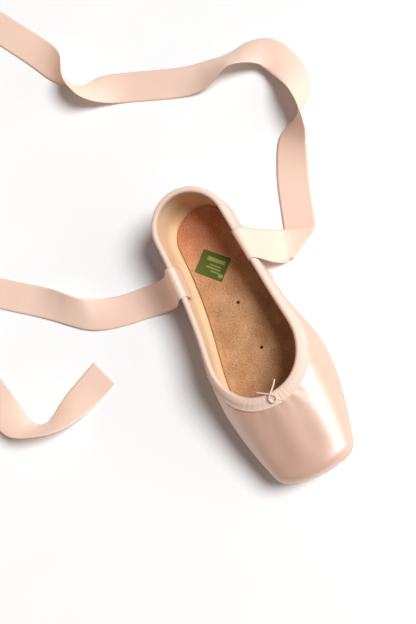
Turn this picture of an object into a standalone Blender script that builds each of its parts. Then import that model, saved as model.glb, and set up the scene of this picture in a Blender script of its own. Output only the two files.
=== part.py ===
"""Pointe shoe with two ribbons, as separate sub-parts.

Metres, +Z up. The toe points to +Y, the back of the heel to -Y, and the origin lies on the
floor under the middle of the shoe. The last, which is the form of the foot inside the shoe,
is one smooth body worked out from a table of sections. Upper, binding, tape, seams and
insole are all laid on its surface, so they follow when a size changes.
"""
import math

import bpy
import numpy as np
from mathutils import Vector

# Driving sizes of the shoe
LENGTH = 0.2315                # back of the heel to the middle of the platform
BALL_WIDTH = 0.088             # widest place, across the ball of the foot
INSTEP_HEIGHT = 0.050          # throat above the floor
WAIST_HEIGHT = 0.038           # lowest place of the top line above the floor
VAMP_LENGTH = 0.0615           # platform to the collar's edge at the throat
HEEL_HEIGHT = 0.051            # top line above the floor at the back of the heel
ARCH_RISE = 0.0040             # the waist's underside above the heel's
TOE_SPRING = 0.0048            # the platform's lower edge above the ball's underside
HEEL_ROUND = 0.028             # depth of the rounded back of the heel
PLATFORM_ROUND = 0.0070        # depth of the rounded edge of the platform
PLATFORM_DOME = 0.0045         # the platform's middle stands out beyond its sides
INSTEP_RUN = 0.085             # from the throat back to the lowest top line
HEEL_RUN = 0.085               # from the back of the heel to the lowest top line

# Walls, layers and clearances
BOX_WALL = 0.0028              # stiffened box round the toes
QUARTER_WALL = 0.0016          # soft satin and lining round the heel
BOX_REACH = 0.0985             # from the platform back to where the box has become soft
FIT = 0.0003                   # clearance between two layers that touch
SOLE_THICKNESS = 0.0026
SOLE_WIDTH = 0.058
SOLE_TOE_MARGIN = 0.0335       # platform to front end of the outsole
SOLE_HEEL_MARGIN = 0.0145      # back of the heel to rear end of the outsole
SOLE_TOE_ROUND = 0.020
SOLE_HEEL_ROUND = 0.0162
LASTING_MARGIN = 0.0055        # how far the upper is turned in over the outsole's edge
INSOLE_THICKNESS = 0.0020
INSOLE_OVERLAP = 0.0125        # how far the insole reaches out over the turned-in margin
BINDING_DEPTH = 0.0080
BINDING_INSIDE_DEPTH = 0.0065
BINDING_THICKNESS = 0.0009
TAPE_WIDTH = 0.0115
TAPE_THICKNESS = 0.0007
SEAM_WIDTH = 0.0052
SEAM_THICKNESS = 0.0005
SEAM_PLACE = 0.085             # back of the heel to the side seams
TACK_RADIUS = 0.00125
TACK_HEIGHT = 0.0005
TACK_PLACES = (0.0895, 0.1275)  # back of the heel to each tack
TACK_SIDES = 12
TACK_RINGS = ((1.0, 0.0), (1.0, 0.4), (0.6, 1.0))  # shares of its radius and height
RIBBON_WIDTH = 0.025
RIBBON_THICKNESS = 0.0006
CORD_DIAMETER = 0.0012

# Shape powers of the last: 2 is an ellipse, more is squarer
SIDE_POWER = 2.2
UNDER_POWER = 2.2
END_FLATNESS = 3.0
TOP_LINE_POWER = 1.6
HEEL_LINE_POWER = 2.0
SOLE_TOE_POWER = 2.4

# Shares of other sizes
SPINE_HEEL = 0.128             # of the length: where the rays' spine starts
SPINE_TOE = 0.62               # of the length: where the spine ends
RAY_REACH = 0.75               # of the length: longer than any ray
BOX_BLEND = 0.6                # of the box's reach: the stretch where its wall thins
LOWEST_LIFT = 0.05             # radians: the collar's edge is above this angle of a ray
HIGHEST_LIFT = 1.55

# Grid steps round the shoe and across a wall
HEEL_STEPS = 22
SIDE_STEPS = 14
TOE_STEPS = 32
WALL_STEPS = 16
RAY_STEPS = 120
HALVINGS = 40
TAPE_GRID = (5, 14)            # lines along the heel tape and across it
SEAM_GRID = (4, 12)
BINDING_ROWS = (3, 2)          # outside and inside of the wall
SHARP_ANGLE = 40               # degrees: edges sharper than this are shaded as edges
PROBE = 1e-5                   # step for measuring a slope
OUTSOLE_RINGS = (0.5, 0.85, 1.0)     # shares of the way from the spine to the edge
INSOLE_RINGS = (0.45, 0.75, 0.9, 1.0)
BEND_REACH = 0.009             # rows gather where the wall bends: length given to a radian
TOE_GATHER = 1.5               # grid lines gather towards the platform

# Sections of the last. along is a share of LENGTH, half a share of half BALL_WIDTH, arch of
# ARCH_RISE and spring of TOE_SPRING, where less than 0 is flat on the floor. widest is the
# height of the widest place and ridge the height of the top, both shares of INSTEP_HEIGHT;
# behind the throat the ridge is open air. floor and crown say how square the section is
# below and above its widest place.
SECTION_COLUMNS = ("along", "half", "arch", "spring", "widest", "ridge", "floor", "crown")
SECTIONS = (
    (0.00, 0.655, -0.04, -0.30, 0.36, 1.42, 4.0, 3.5),
    (0.118, 0.665, -0.08, -0.30, 0.36, 1.37, 4.2, 3.5),
    (0.246, 0.690, 0.27, -0.30, 0.34, 1.28, 4.8, 3.5),
    (0.374, 0.735, 0.95, -0.30, 0.32, 1.21, 5.2, 3.4),
    (0.453, 0.790, 0.90, -0.30, 0.31, 1.18, 5.5, 3.2),
    (0.522, 0.870, 0.45, -0.30, 0.30, 1.165, 5.8, 2.9),
    (0.581, 0.955, 0.08, -0.30, 0.30, 1.14, 6.0, 2.6),
    (0.65, 1.000, -0.12, -0.24, 0.30, 1.085, 6.0, 2.35),
    (0.709, 0.995, -0.18, -0.10, 0.31, 1.02, 5.5, 2.3),
    (0.768, 0.955, -0.20, 0.09, 0.33, 0.945, 5.0, 2.3),
    (0.837, 0.880, -0.20, 0.37, 0.35, 0.85, 4.2, 2.4),
    (0.906, 0.785, -0.20, 0.70, 0.37, 0.755, 3.5, 2.5),
    (0.955, 0.705, -0.20, 0.92, 0.385, 0.70, 3.1, 2.6),
    (1.00, 0.635, -0.20, 1.00, 0.39, 0.67, 3.0, 2.6),
)

# Half widths of the outsole. along is a share of its own length from the heel, half a share
# of half SOLE_WIDTH.
SOLE_COLUMNS = ("along", "half")
SOLE_OUTLINE = (
    (0.00, 0.555), (0.10, 0.555), (0.20, 0.560), (0.30, 0.585), (0.40, 0.645),
    (0.48, 0.730), (0.56, 0.840), (0.63, 0.935), (0.71, 1.000), (0.79, 0.985),
    (0.86, 0.930), (0.94, 0.840), (1.00, 0.760),
)

# Ribbon routes, from the seam inside the collar to the cut end. A row holds x, y and z in
# millimetres, then two angles in degrees: the heading of the ribbon's width in plan, and
# its tilt, where 0 lies flat and 90 stands on edge.
RIBBON_RIGHT = (
    (-26.0, -54.7, 25.0, 273, 5), (-26.0, -54.7, 33.0, 273, 5), (-26.1, -54.7, 39.0, 273, 5),
    (-27.6, -54.7, 41.1, 273, 5), (-30.0, -54.7, 41.3, 273, 5), (-32.2, -54.3, 39.8, 271, 5),
    (-34.5, -53.5, 35.0, 268, 4), (-37.5, -52.2, 26.0, 263, 3), (-41.5, -50.5, 15.5, 256, 2),
    (-47.0, -48.2, 8.0, 246, 0), (-50.7, -46.8, 5.7, 232, 0), (-54.5, -45.4, 4.6, 219, 0),
    (-58.2, -44.0, 4.0, 208, 0), (-61.5, -42.6, 3.65, 204, 0), (-62.1, -41.7, 3.23, 204, 0),
    (-62.4, -41.4, 2.2, 204, 0), (-62.4, -41.8, 1.17, 204, 0), (-62.2, -42.8, 0.75, 204, 0),
    (-63.3, -46.5, 0.5, 201, 0), (-64.6, -50.3, 0.5, 190, 0), (-65.8, -54.1, 0.5, 176, 0),
    (-67.1, -57.9, 0.5, 163, 0), (-72.0, -72.2, 0.5, 161, 0), (-78.3, -89.7, 0.5, 160, 0),
    (-84.5, -103.2, 1.6, 157, 6), (-91.5, -115.7, 4.6, 150, 20), (-100.5, -124.7, 9.4, 142, 48),
    (-108.3, -132.7, 12.6, 138, 80), (-113.0, -141.2, 12.4, 148, 106),
    (-116.0, -151.2, 10.2, 168, 128), (-116.5, -161.7, 7.6, 186, 146),
    (-114.5, -172.2, 5.8, 203, 158), (-110.8, -182.7, 4.6, 219, 165),
    (-104.3, -191.7, 4.6, 238, 160), (-94.5, -196.3, 6.8, 254, 148),
    (-84.5, -197.9, 9.0, 265, 137), (-75.0, -199.3, 9.4, 270, 135),
    (-63.5, -200.5, 6.6, 270, 150), (-50.0, -202.9, 2.8, 260, 169),
    (-36.0, -208.1, 0.8, 250, 179), (-20.0, -216.3, 0.5, 246, 180), (5.0, -229.7, 0.6, 245, 180),
    (18.0, -236.2, 2.4, 246, 172), (28.0, -241.2, 6.5, 240, 152), (37.0, -247.2, 11.4, 228, 118),
    (43.0, -255.7, 12.8, 212, 88), (46.5, -266.2, 10.8, 203, 56), (50.0, -277.7, 6.4, 203, 28),
    (54.5, -290.2, 2.4, 206, 8), (61.0, -304.2, 0.6, 208, 0), (70.0, -321.2, 0.5, 208, 0),
    (80.0, -340.2, 0.5, 208, 0), (89.0, -357.2, 0.5, 208, 0),
)
RIBBON_LEFT = (
    (26.0, -54.7, 25.0, 267, 5), (26.0, -54.7, 33.0, 267, 5), (26.1, -54.7, 39.0, 267, 5),
    (27.6, -54.7, 41.1, 267, 5), (30.0, -54.7, 41.3, 267, 5), (32.2, -54.9, 39.8, 267, 5),
    (34.6, -55.5, 35.0, 267, 4), (38.0, -56.3, 26.0, 267, 3), (43.0, -57.7, 16.0, 267, 2),
    (50.0, -59.7, 8.5, 267, 0), (59.0, -62.2, 3.5, 266, 0), (70.0, -64.9, 0.8, 266, 0),
    (88.0, -68.7, 0.5, 265, 1), (105.0, -74.2, 2.6, 260, 9), (117.0, -80.7, 5.0, 250, 18),
    (128.0, -90.7, 5.0, 238, 18), (139.0, -101.7, 2.6, 230, 9), (152.0, -113.2, 0.6, 229, 0),
    (176.0, -133.2, 0.5, 230, 0), (192.0, -146.7, 1.4, 231, 4), (204.0, -153.7, 5.6, 244, 24),
    (216.0, -155.2, 10.4, 266, 52), (226.0, -150.2, 12.4, 302, 78),
    (231.0, -139.7, 12.7, 338, 86), (231.5, -125.7, 12.2, 358, 74), (229.0, -109.7, 9.8, 366, 48),
    (225.5, -93.7, 4.9, 371, 20), (221.0, -75.7, 0.9, 373, 1), (217.0, -58.7, 0.8, 374, 1),
    (213.5, -44.7, 3.6, 380, 14), (208.5, -31.7, 7.8, 392, 36), (201.0, -21.2, 11.0, 412, 58),
    (190.5, -15.2, 11.6, 436, 65), (178.5, -14.2, 9.9, 456, 50), (166.0, -17.2, 6.4, 466, 28),
    (152.0, -22.2, 2.2, 470, 8), (138.0, -27.2, 0.5, 470, 0), (124.0, -32.2, 0.5, 470, 0),
)
MILLIMETRE = 0.001
RIBBON_SECTIONS = 84
FLOOR_CLEARANCE = 0.0001       # ribbons lie this far above the floor
ROUTE_BEND = 0.55              # sections gather at bends: millimetres given to a degree
ROUTE_STEPS = 12               # fine steps between two rows of a route
NARROWEST_SLANT = 0.6          # a slanted cross line is at most 1 / 0.6 of the width

# Drawstring route in millimetres from the middle of the binding's edge at the throat, with
# the height measured from the binding's top.
CORD_ROUTE = (
    (8.4, -6.0, -0.2), (6.0, -4.3, 0.3), (3.4, -2.4, 0.6), (1.0, -0.7, 0.6), (-1.2, 0.9, 0.4),
    (-2.5, 2.6, 0.1), (-2.0, 4.8, -0.5), (0.0, 5.8, -0.8), (2.0, 4.8, -0.2), (2.5, 2.6, 0.9),
    (1.2, 0.9, 2.0), (-1.0, -1.0, 2.3), (-3.2, -3.2, 1.7), (-5.4, -5.6, 0.8),
    (-7.2, -8.4, 0.1),
)
CORD_SECTIONS = 26

MIDDLE = (LENGTH - FIT - TAPE_THICKNESS) / 2    # back of the heel to the origin


def table_spline(columns, rows):
    """Natural cubic through a table's rows: a function of along that returns each column."""
    data = np.array(rows)
    x, values = data[:, 0], data[:, 1:]
    gap = np.diff(x)
    size = len(x)
    matrix = np.eye(size)
    right = np.zeros_like(values)
    for row in range(1, size - 1):
        matrix[row, row - 1:row + 2] = gap[row - 1], 2 * (gap[row - 1] + gap[row]), gap[row]
        right[row] = 6 * (
            (values[row + 1] - values[row]) / gap[row]
            - (values[row] - values[row - 1]) / gap[row - 1])
    bend = np.linalg.solve(matrix, right)

    def read(share):
        share = np.clip(share, x[0], x[-1])
        low = np.clip(np.searchsorted(x, share) - 1, 0, size - 2)
        step = gap[low]
        after = (share - x[low]) / step
        before = 1.0 - after
        result = {}
        for number, name in enumerate(columns[1:]):
            value, curve = values[:, number], bend[:, number]
            result[name] = (
                before * value[low] + after * value[low + 1]
                + ((before ** 3 - before) * curve[low]
                   + (after ** 3 - after) * curve[low + 1]) * step ** 2 / 6)
        return result
    return read


read_sections = table_spline(SECTION_COLUMNS, SECTIONS)
read_sole = table_spline(SOLE_COLUMNS, SOLE_OUTLINE)


def section_sizes(along):
    """Half width, underside, widest height and ridge height at a place along the shoe."""
    table = read_sections(along / LENGTH)
    sizes = {
        "half": table["half"] * BALL_WIDTH / 2,
        "under": (SOLE_THICKNESS + FIT + np.clip(table["arch"], 0.0, None) * ARCH_RISE
                  + np.clip(table["spring"], 0.0, None) * TOE_SPRING),
        "widest": table["widest"] * INSTEP_HEIGHT,
        "ridge": table["ridge"] * INSTEP_HEIGHT,
        "floor": table["floor"],
        "crown": table["crown"],
    }
    return sizes


def last_field(point):
    """Below 0 inside the last, 0 on its surface; along is measured from the heel's back."""
    x, along, z = point[..., 0], point[..., 1], point[..., 2]
    size = section_sizes(along)
    heel = np.clip((HEEL_ROUND - along) / HEEL_ROUND, 0.0, None)
    across = np.sqrt((x / size["half"]) ** 2 + heel ** 2)
    up = np.clip((z - size["widest"]) / (size["ridge"] - size["widest"]), 0.0, None)
    down = np.clip((size["widest"] - z) / (size["widest"] - size["under"]), 0.0, None)
    above = across ** SIDE_POWER + up ** size["crown"]
    below = across ** size["floor"] + down ** UNDER_POWER
    ring = np.where(z >= size["widest"], above, below)
    end = LENGTH - PLATFORM_DOME * (x / size["half"]) ** 2
    toe = np.clip((along - end + PLATFORM_ROUND) / PLATFORM_ROUND, 0.0, None)
    return ring ** END_FLATNESS + toe ** 2 - 1.0


def top_line(along):
    """Height of the collar's edge seen from the side."""
    throat = LENGTH - VAMP_LENGTH
    front = np.clip(1.0 - (throat - along) / INSTEP_RUN, 0.0, None) ** TOP_LINE_POWER
    back = np.clip(1.0 - along / HEEL_RUN, 0.0, None) ** HEEL_LINE_POWER
    return (WAIST_HEIGHT + (INSTEP_HEIGHT - WAIST_HEIGHT) * front
            + (HEEL_HEIGHT - WAIST_HEIGHT) * back)


def ring_frame(turn):
    """Spine point and outward direction of the upright half plane at each turn, 0 to 1.

    The turn starts at the back of the heel, fans round it, runs along the +X side, fans
    round the toe and comes back along the other side.
    """
    heel_fan = LENGTH * SPINE_HEEL
    toe_fan = LENGTH * SPINE_TOE
    half = np.where(turn <= 0.5, turn, 1.0 - turn) * 2.0
    side = np.where(turn <= 0.5, 1.0, -1.0)
    total = HEEL_STEPS / 2 + SIDE_STEPS + TOE_STEPS / 2
    heel_end = HEEL_STEPS / 2 / total
    toe_start = (HEEL_STEPS / 2 + SIDE_STEPS) / total
    in_heel = np.clip(half / heel_end, 0.0, 1.0)
    on_side = np.clip((half - heel_end) / (toe_start - heel_end), 0.0, 1.0)
    in_toe = np.clip((half - toe_start) / (1.0 - toe_start), 0.0, 1.0)
    in_toe = 1.0 - (1.0 - in_toe) ** TOE_GATHER
    angle = (in_heel + in_toe) * math.pi / 2
    spine = heel_fan + (toe_fan - heel_fan) * on_side
    return spine, side * np.sin(angle), -np.cos(angle)


def halve(inside, near, far):
    """Where a test stops being true between two arrays, by halving the stretch each time."""
    for _ in range(HALVINGS):
        middle = (near + far) / 2
        true = inside(middle)
        near = np.where(true, middle, near)
        far = np.where(true, far, middle)
    return (near + far) / 2


def ray_points(turn, lift):
    """Points of the last's surface, seen from the spine at each turn and angle of lift."""
    spine, out_x, out_y = ring_frame(turn)
    pivot = section_sizes(spine)["widest"]
    reach = np.cos(lift)
    direction = np.stack([out_x * reach, out_y * reach, np.sin(lift)], axis=-1)
    start = np.stack([np.zeros_like(spine), spine, pivot], axis=-1)

    def inside(distance):
        return last_field(start + direction * distance[..., None]) < 0.0

    reach = halve(inside, np.zeros_like(spine), np.full_like(spine, LENGTH * RAY_REACH))
    return start + direction * reach[..., None]


def sole_half_width(along):
    """Half width of the outsole, 0 beyond its two ends."""
    sole_length = LENGTH - SOLE_TOE_MARGIN - SOLE_HEEL_MARGIN
    place = along - SOLE_HEEL_MARGIN
    half = read_sole(place / sole_length)["half"] * SOLE_WIDTH / 2
    heel = np.clip((SOLE_HEEL_ROUND - place) / SOLE_HEEL_ROUND, 0.0, 1.0)
    toe = np.clip((place - sole_length + SOLE_TOE_ROUND) / SOLE_TOE_ROUND, 0.0, 1.0)
    ends = np.sqrt(1.0 - heel ** 2) * (1.0 - toe ** SOLE_TOE_POWER) ** (1 / SOLE_TOE_POWER)
    return half * ends


def outline_reach(turn):
    """Distance from the spine to the outsole's outline in plan, at each turn."""
    spine, out_x, out_y = ring_frame(turn)

    def inside(distance):
        return np.abs(out_x * distance) < sole_half_width(spine + out_y * distance)

    return halve(inside, np.zeros_like(spine), np.full_like(spine, LENGTH * RAY_REACH))


def under_height(x, along):
    """Height of the last's underside over a place in plan."""
    size = section_sizes(along)
    heel = np.clip((HEEL_ROUND - along) / HEEL_ROUND, 0.0, None)
    across = np.clip(np.sqrt((x / size["half"]) ** 2 + heel ** 2), 0.0, 1.0)
    down = (1.0 - across ** size["floor"]) ** (1 / UNDER_POWER)
    return size["widest"] - (size["widest"] - size["under"]) * down


def profile_limits(turn):
    """Lift angles of the turned-in edge underneath and of the collar's edge."""
    spine, out_x, out_y = ring_frame(turn)
    pivot = section_sizes(spine)["widest"]
    reach = outline_reach(turn) - LASTING_MARGIN
    edge_height = under_height(out_x * reach, spine + out_y * reach)
    low = np.arctan2(edge_height - pivot, reach)

    def below(lift):
        point = ray_points(turn, lift)
        return point[..., 2] < top_line(point[..., 1])

    high = halve(below, np.full_like(spine, LOWEST_LIFT), np.full_like(spine, HIGHEST_LIFT))
    return low, high


def measured_profiles(turn):
    """Lift angles and their distances along each profile, from the collar down."""
    low, high = profile_limits(turn)
    share = np.linspace(0.0, 1.0, RAY_STEPS)
    lift = high[:, None] + (low - high)[:, None] * share
    points = ray_points(np.repeat(turn[:, None], RAY_STEPS, axis=1), lift)
    steps = np.linalg.norm(np.diff(points, axis=1), axis=2)
    distance = np.concatenate([np.zeros((len(turn), 1)), np.cumsum(steps, axis=1)], axis=1)
    return lift, distance


def wall_grid(turn, depth, profiles):
    """Points at each turn and each depth below the collar's edge, and their normals."""
    lift, distance = profiles
    wanted = np.stack([
        np.interp(depth[row], distance[row], lift[row]) for row in range(len(turn))])
    points = ray_points(np.repeat(turn[:, None], depth.shape[1], axis=1), wanted)
    return points, last_normals(points)


def last_normals(points):
    """Outward directions of the last's surface, from the slope of its field."""
    slope = np.zeros_like(points)
    for axis in range(3):
        shift = np.zeros(3)
        shift[axis] = PROBE
        slope[..., axis] = last_field(points + shift) - last_field(points - shift)
    return slope / np.linalg.norm(slope, axis=-1, keepdims=True)


def wall_thickness(along):
    """Thick round the box, thin in the quarters, with a smooth change between."""
    share = np.clip((along - LENGTH + BOX_REACH) / (BOX_REACH * BOX_BLEND), 0.0, 1.0)
    smooth = share * share * (3.0 - 2.0 * share)
    return QUARTER_WALL + (BOX_WALL - QUARTER_WALL) * smooth


def make_material(name, colour, roughness, sheen=0.0):
    """Principled material from an sRGB colour in hex."""
    material = bpy.data.materials.new(name)
    material.use_nodes = True
    channels = [int(colour[start:start + 2], 16) / 255 for start in (0, 2, 4)]
    linear = [((c + 0.055) / 1.055) ** 2.4 if c > 0.04045 else c / 12.92 for c in channels]
    shader = material.node_tree.nodes["Principled BSDF"]
    shader.inputs["Base Color"].default_value = (*linear, 1.0)
    shader.inputs["Roughness"].default_value = roughness
    shader.inputs["Metallic"].default_value = 0.0
    shader.inputs["Sheen Weight"].default_value = sheen
    material.diffuse_color = (*linear, 1.0)
    return material


def add_mesh(name, vertices, faces, material):
    """Object from shoe coordinates, with the origin moved under the middle of the shoe."""
    placed = np.array(vertices, dtype=float).reshape(-1, 3) - (0.0, MIDDLE, 0.0)
    mesh = bpy.data.meshes.new(name)
    mesh.from_pydata(placed.tolist(), [], [list(face) for face in faces])
    mesh.validate()
    mesh.materials.append(material)
    mesh.shade_smooth()
    mesh.set_sharp_from_angle(angle=math.radians(SHARP_ANGLE))
    item = bpy.data.objects.new(name, mesh)
    bpy.context.scene.collection.objects.link(item)
    return item


def loop_faces(rows, columns, flip=False):
    """Quads of a grid that is closed both along its rows and round its columns."""
    faces = []
    for row in range(rows):
        for column in range(columns):
            after, right = (row + 1) % rows, (column + 1) % columns
            face = (row * columns + column, row * columns + right,
                    after * columns + right, after * columns + column)
            faces.append(face[::-1] if flip else face)
    return faces


def slab_faces(rows, columns):
    """Quads of two open grids, upper then lower, joined along their four edges."""
    faces = []
    second = rows * columns
    for row in range(rows - 1):
        for column in range(columns - 1):
            a = row * columns + column
            b, c, d = a + 1, a + columns + 1, a + columns
            faces.append((a, b, c, d))
            faces.append((d + second, c + second, b + second, a + second))
    border = [(0, column) for column in range(columns)]
    border += [(row, columns - 1) for row in range(1, rows)]
    border += [(rows - 1, column) for column in range(columns - 2, -1, -1)]
    border += [(row, 0) for row in range(rows - 2, 0, -1)]
    ids = [row * columns + column for row, column in border]
    for a, b in zip(ids, ids[1:] + ids[:1]):
        faces.append((b, a, a + second, b + second))
    return faces


def ring_turns():
    """Turns of the grid lines round the shoe."""
    count = HEEL_STEPS + 2 * SIDE_STEPS + TOE_STEPS
    return np.arange(count) / count


def gathered_depths(turn, profiles, rows):
    """Depths of the wall's rows: even along the profile, closer where it bends."""
    lift, distance = profiles
    points = ray_points(np.repeat(turn[:, None], lift.shape[1], axis=1), lift)
    chord = np.diff(points, axis=1)
    chord /= np.linalg.norm(chord, axis=2, keepdims=True)
    cosine = np.clip((chord[:, 1:] * chord[:, :-1]).sum(axis=2), -1.0, 1.0)
    bend = np.pad(np.cumsum(np.arccos(cosine), axis=1), ((0, 0), (1, 1)), mode="edge")
    bend[:, 0] = 0.0
    measure = distance + BEND_REACH * bend
    share = np.linspace(0.0, 1.0, rows)
    return np.stack([
        np.interp(share * measure[row, -1], measure[row], distance[row])
        for row in range(len(turn))])


def make_upper(material):
    """One hollow wall, open at the collar and underneath, thicker round the box."""
    turn = ring_turns()
    profiles = measured_profiles(turn)
    depth = gathered_depths(turn, profiles, WALL_STEPS)
    outer, normal = wall_grid(turn, depth, profiles)
    inner = outer - normal * wall_thickness(outer[..., 1])[..., None]
    section = np.concatenate([outer, inner[:, ::-1]], axis=1)
    return add_mesh("upper", section, loop_faces(*section.shape[:2]), material)


def make_binding(material):
    """Folded casing of U section over the collar's edge."""
    turn = ring_turns()
    profiles = measured_profiles(turn)
    out, back = BINDING_ROWS
    outside = np.linspace(0.0, 1.0, out) * BINDING_DEPTH
    inside = np.linspace(0.0, 1.0, back) * BINDING_INSIDE_DEPTH
    depth = np.repeat(np.concatenate([outside, inside])[None, :], len(turn), axis=0)
    points, normal = wall_grid(turn, depth, profiles)
    wall = wall_thickness(points[..., 1])[..., None]
    clear, full = FIT, FIT + BINDING_THICKNESS
    edge = points[:, :1]
    beyond = edge - points[:, 1:2]
    beyond /= np.linalg.norm(beyond, axis=-1, keepdims=True)
    out_skin = points[:, :out] + normal[:, :out] * full
    out_back = points[:, :out] + normal[:, :out] * clear
    in_skin = points[:, out:] - normal[:, out:] * (wall[:, out:] + full)
    in_back = points[:, out:] - normal[:, out:] * (wall[:, out:] + clear)
    middle = edge - normal[:, :1] * wall[:, :1] / 2
    crown = middle + beyond * full
    seat = middle + beyond * clear
    section = np.concatenate([
        out_skin[:, ::-1], crown, in_skin, in_back[:, ::-1], seat, out_back], axis=1)
    faces = loop_faces(*section.shape[:2], flip=True)
    return add_mesh("collar_binding", section, faces, material)


def strip_on_wall(name, places, depths, thickness, material):
    """Strip laid on the outside of the upper, between two rows of turns and depths."""
    points, normal = wall_grid(places, depths, measured_profiles(places))
    lower = points + normal * FIT
    upper = points + normal * (FIT + thickness)
    rows, columns = points.shape[:2]
    vertices = np.concatenate([upper.reshape(-1, 3), lower.reshape(-1, 3)])
    return add_mesh(name, vertices, slab_faces(rows, columns), material)


def make_heel_tape(material):
    """Satin strip over the back seam, from the binding to the outsole's heel end."""
    lines, columns = TAPE_GRID
    start = BINDING_DEPTH + FIT
    turn = heel_turns(TAPE_WIDTH, lines)
    total = measured_profiles(turn)[1][:, -1]
    end = total - LASTING_MARGIN - FIT - TAPE_THICKNESS
    depth = start + (end - start)[:, None] * np.linspace(0.0, 1.0, columns)
    return strip_on_wall("heel_tape", turn, depth, TAPE_THICKNESS, material)


def heel_turns(width, lines):
    """Turns across the back of the heel that span a strip's width."""
    quarter_arc = HEEL_ROUND * math.pi / 2
    heel_share = HEEL_STEPS / 4 / (HEEL_STEPS / 2 + SIDE_STEPS + TOE_STEPS / 2)
    reach = width / 2 / quarter_arc * heel_share
    return np.linspace(-reach, reach, lines) % 1.0


def make_side_seam(name, side, material):
    """Raised double-stitched join of vamp and quarter on one side."""
    lines, columns = SEAM_GRID
    total = HEEL_STEPS / 2 + SIDE_STEPS + TOE_STEPS / 2
    place = SEAM_PLACE + np.linspace(-0.5, 0.5, lines) * SEAM_WIDTH
    share = (place / LENGTH - SPINE_HEEL) / (SPINE_TOE - SPINE_HEEL)
    turn = (HEEL_STEPS / 2 + SIDE_STEPS * share) / total / 2
    turn = turn if side > 0 else (1.0 - turn)[::-1]
    distance = measured_profiles(turn)[1][:, -1]
    start = BINDING_DEPTH + FIT
    end = distance - LASTING_MARGIN - FIT - SEAM_THICKNESS
    depth = start + (end - start)[:, None] * np.linspace(0.0, 1.0, columns)
    return strip_on_wall(name, turn, depth, SEAM_THICKNESS, material)


def plan_slab(name, reach, share, top_at, bottom_at, material):
    """Solid with an outline in plan and two height functions, built as rings to a spine."""
    turn = ring_turns()
    spine, out_x, out_y = ring_frame(turn)
    distance = reach[:, None] * np.array(share)
    x = out_x[:, None] * distance
    along = spine[:, None] + out_y[:, None] * distance
    top = np.stack([x, along, top_at(x, along)], axis=-1)
    bottom = np.stack([x, along, bottom_at(x, along)], axis=-1)
    count, rings = len(turn), len(share)
    vertices = np.concatenate([top.reshape(-1, 3), bottom.reshape(-1, 3)])
    faces = []
    second = count * rings
    for row in range(count):
        after = (row + 1) % count
        for ring in range(rings - 1):
            a, b = row * rings + ring, row * rings + ring + 1
            c, d = after * rings + ring + 1, after * rings + ring
            faces.append((a, b, c, d))
            faces.append((d + second, c + second, b + second, a + second))
        a, d = row * rings + rings - 1, after * rings + rings - 1
        faces.append((a, a + second, d + second, d))
    vertices, faces = close_spine(vertices, faces, count, rings, spine, top_at, bottom_at)
    return add_mesh(name, vertices, faces, material)


def close_spine(vertices, faces, count, rings, spine, top_at, bottom_at):
    """Fill the slit along the spine with a row of points that both sides share."""
    places = np.unique(np.round(spine, 9))
    zero = np.zeros_like(places)
    first = len(vertices)
    top = np.stack([zero, places, top_at(zero, places)], axis=-1)
    bottom = np.stack([zero, places, bottom_at(zero, places)], axis=-1)
    vertices = np.concatenate([vertices, top, bottom])
    second = count * rings
    for row in range(count):
        after = (row + 1) % count
        here = first + int(np.argmin(np.abs(places - spine[row])))
        there = first + int(np.argmin(np.abs(places - spine[after])))
        a, d = row * rings, after * rings
        if here == there:
            faces.append((here, a, d))
            faces.append((here + len(places), d + second, a + second))
        else:
            faces.append((here, a, d, there))
            faces.append((there + len(places), d + second, a + second, here + len(places)))
    return vertices, faces


def make_outsole(material):
    """Leather sole: follows the arch, flat on the floor at heel and ball."""
    turn = ring_turns()

    def top_at(x, along):
        return under_height(x, along) - FIT

    def bottom_at(x, along):
        return under_height(np.zeros_like(x), along) - FIT - SOLE_THICKNESS

    reach = outline_reach(turn)
    return plan_slab("outsole", reach, OUTSOLE_RINGS, top_at, bottom_at, material)


def insole_under(x, along):
    """Underside of the insole, over the turned-in margin of the upper.

    Its clearance is doubled, because the facets of the upper's wall stand proud of the
    curve where the wall turns up.
    """
    rise = under_height(x + PROBE, along) - under_height(x - PROBE, along)
    upright = wall_thickness(along) * np.sqrt(1.0 + (rise / (2 * PROBE)) ** 2)
    return under_height(x, along) + upright + 2 * FIT


def make_insole(material):
    """Covered board on the turned-in margin, seen through the collar."""
    turn = ring_turns()
    reach = outline_reach(turn) - LASTING_MARGIN + INSOLE_OVERLAP

    def top_at(x, along):
        return insole_under(x, along) + INSOLE_THICKNESS

    return plan_slab("insole", reach, INSOLE_RINGS, top_at, insole_under, material)


def smooth_route(rows, count):
    """Points on a smooth curve through a route's rows, closer together at its bends."""
    data = np.array(rows, dtype=float)
    padded = np.concatenate([2 * data[:1] - data[1:2], data, 2 * data[-1:] - data[-2:-1]])
    share = np.linspace(0.0, 1.0, ROUTE_STEPS, endpoint=False)[:, None]
    pieces = []
    for p0, p1, p2, p3 in zip(padded, padded[1:], padded[2:], padded[3:]):
        pieces.append(
            p1 + (p2 - p0) / 2 * share
            + (p0 - 2.5 * p1 + 2 * p2 - p3 / 2) * share ** 2
            + (1.5 * (p1 - p2) + (p3 - p0) / 2) * share ** 3)
    fine = np.concatenate(pieces + [data[-1:]])
    steps = np.diff(fine[:, :3], axis=0)
    length = np.linalg.norm(steps, axis=1)
    unit = steps / length[:, None]
    turned = np.degrees(np.arccos(np.clip((unit[1:] * unit[:-1]).sum(axis=1), -1.0, 1.0)))
    twisted = np.abs(np.diff(fine[:, 3:], axis=0)).sum(axis=1)
    effort = length + ROUTE_BEND * (twisted + np.concatenate([[0.0], turned]))
    measure = np.concatenate([[0.0], np.cumsum(effort)])
    wanted = np.linspace(0.0, measure[-1], count)
    return np.stack([np.interp(wanted, measure, column) for column in fine.T], axis=1)


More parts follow.
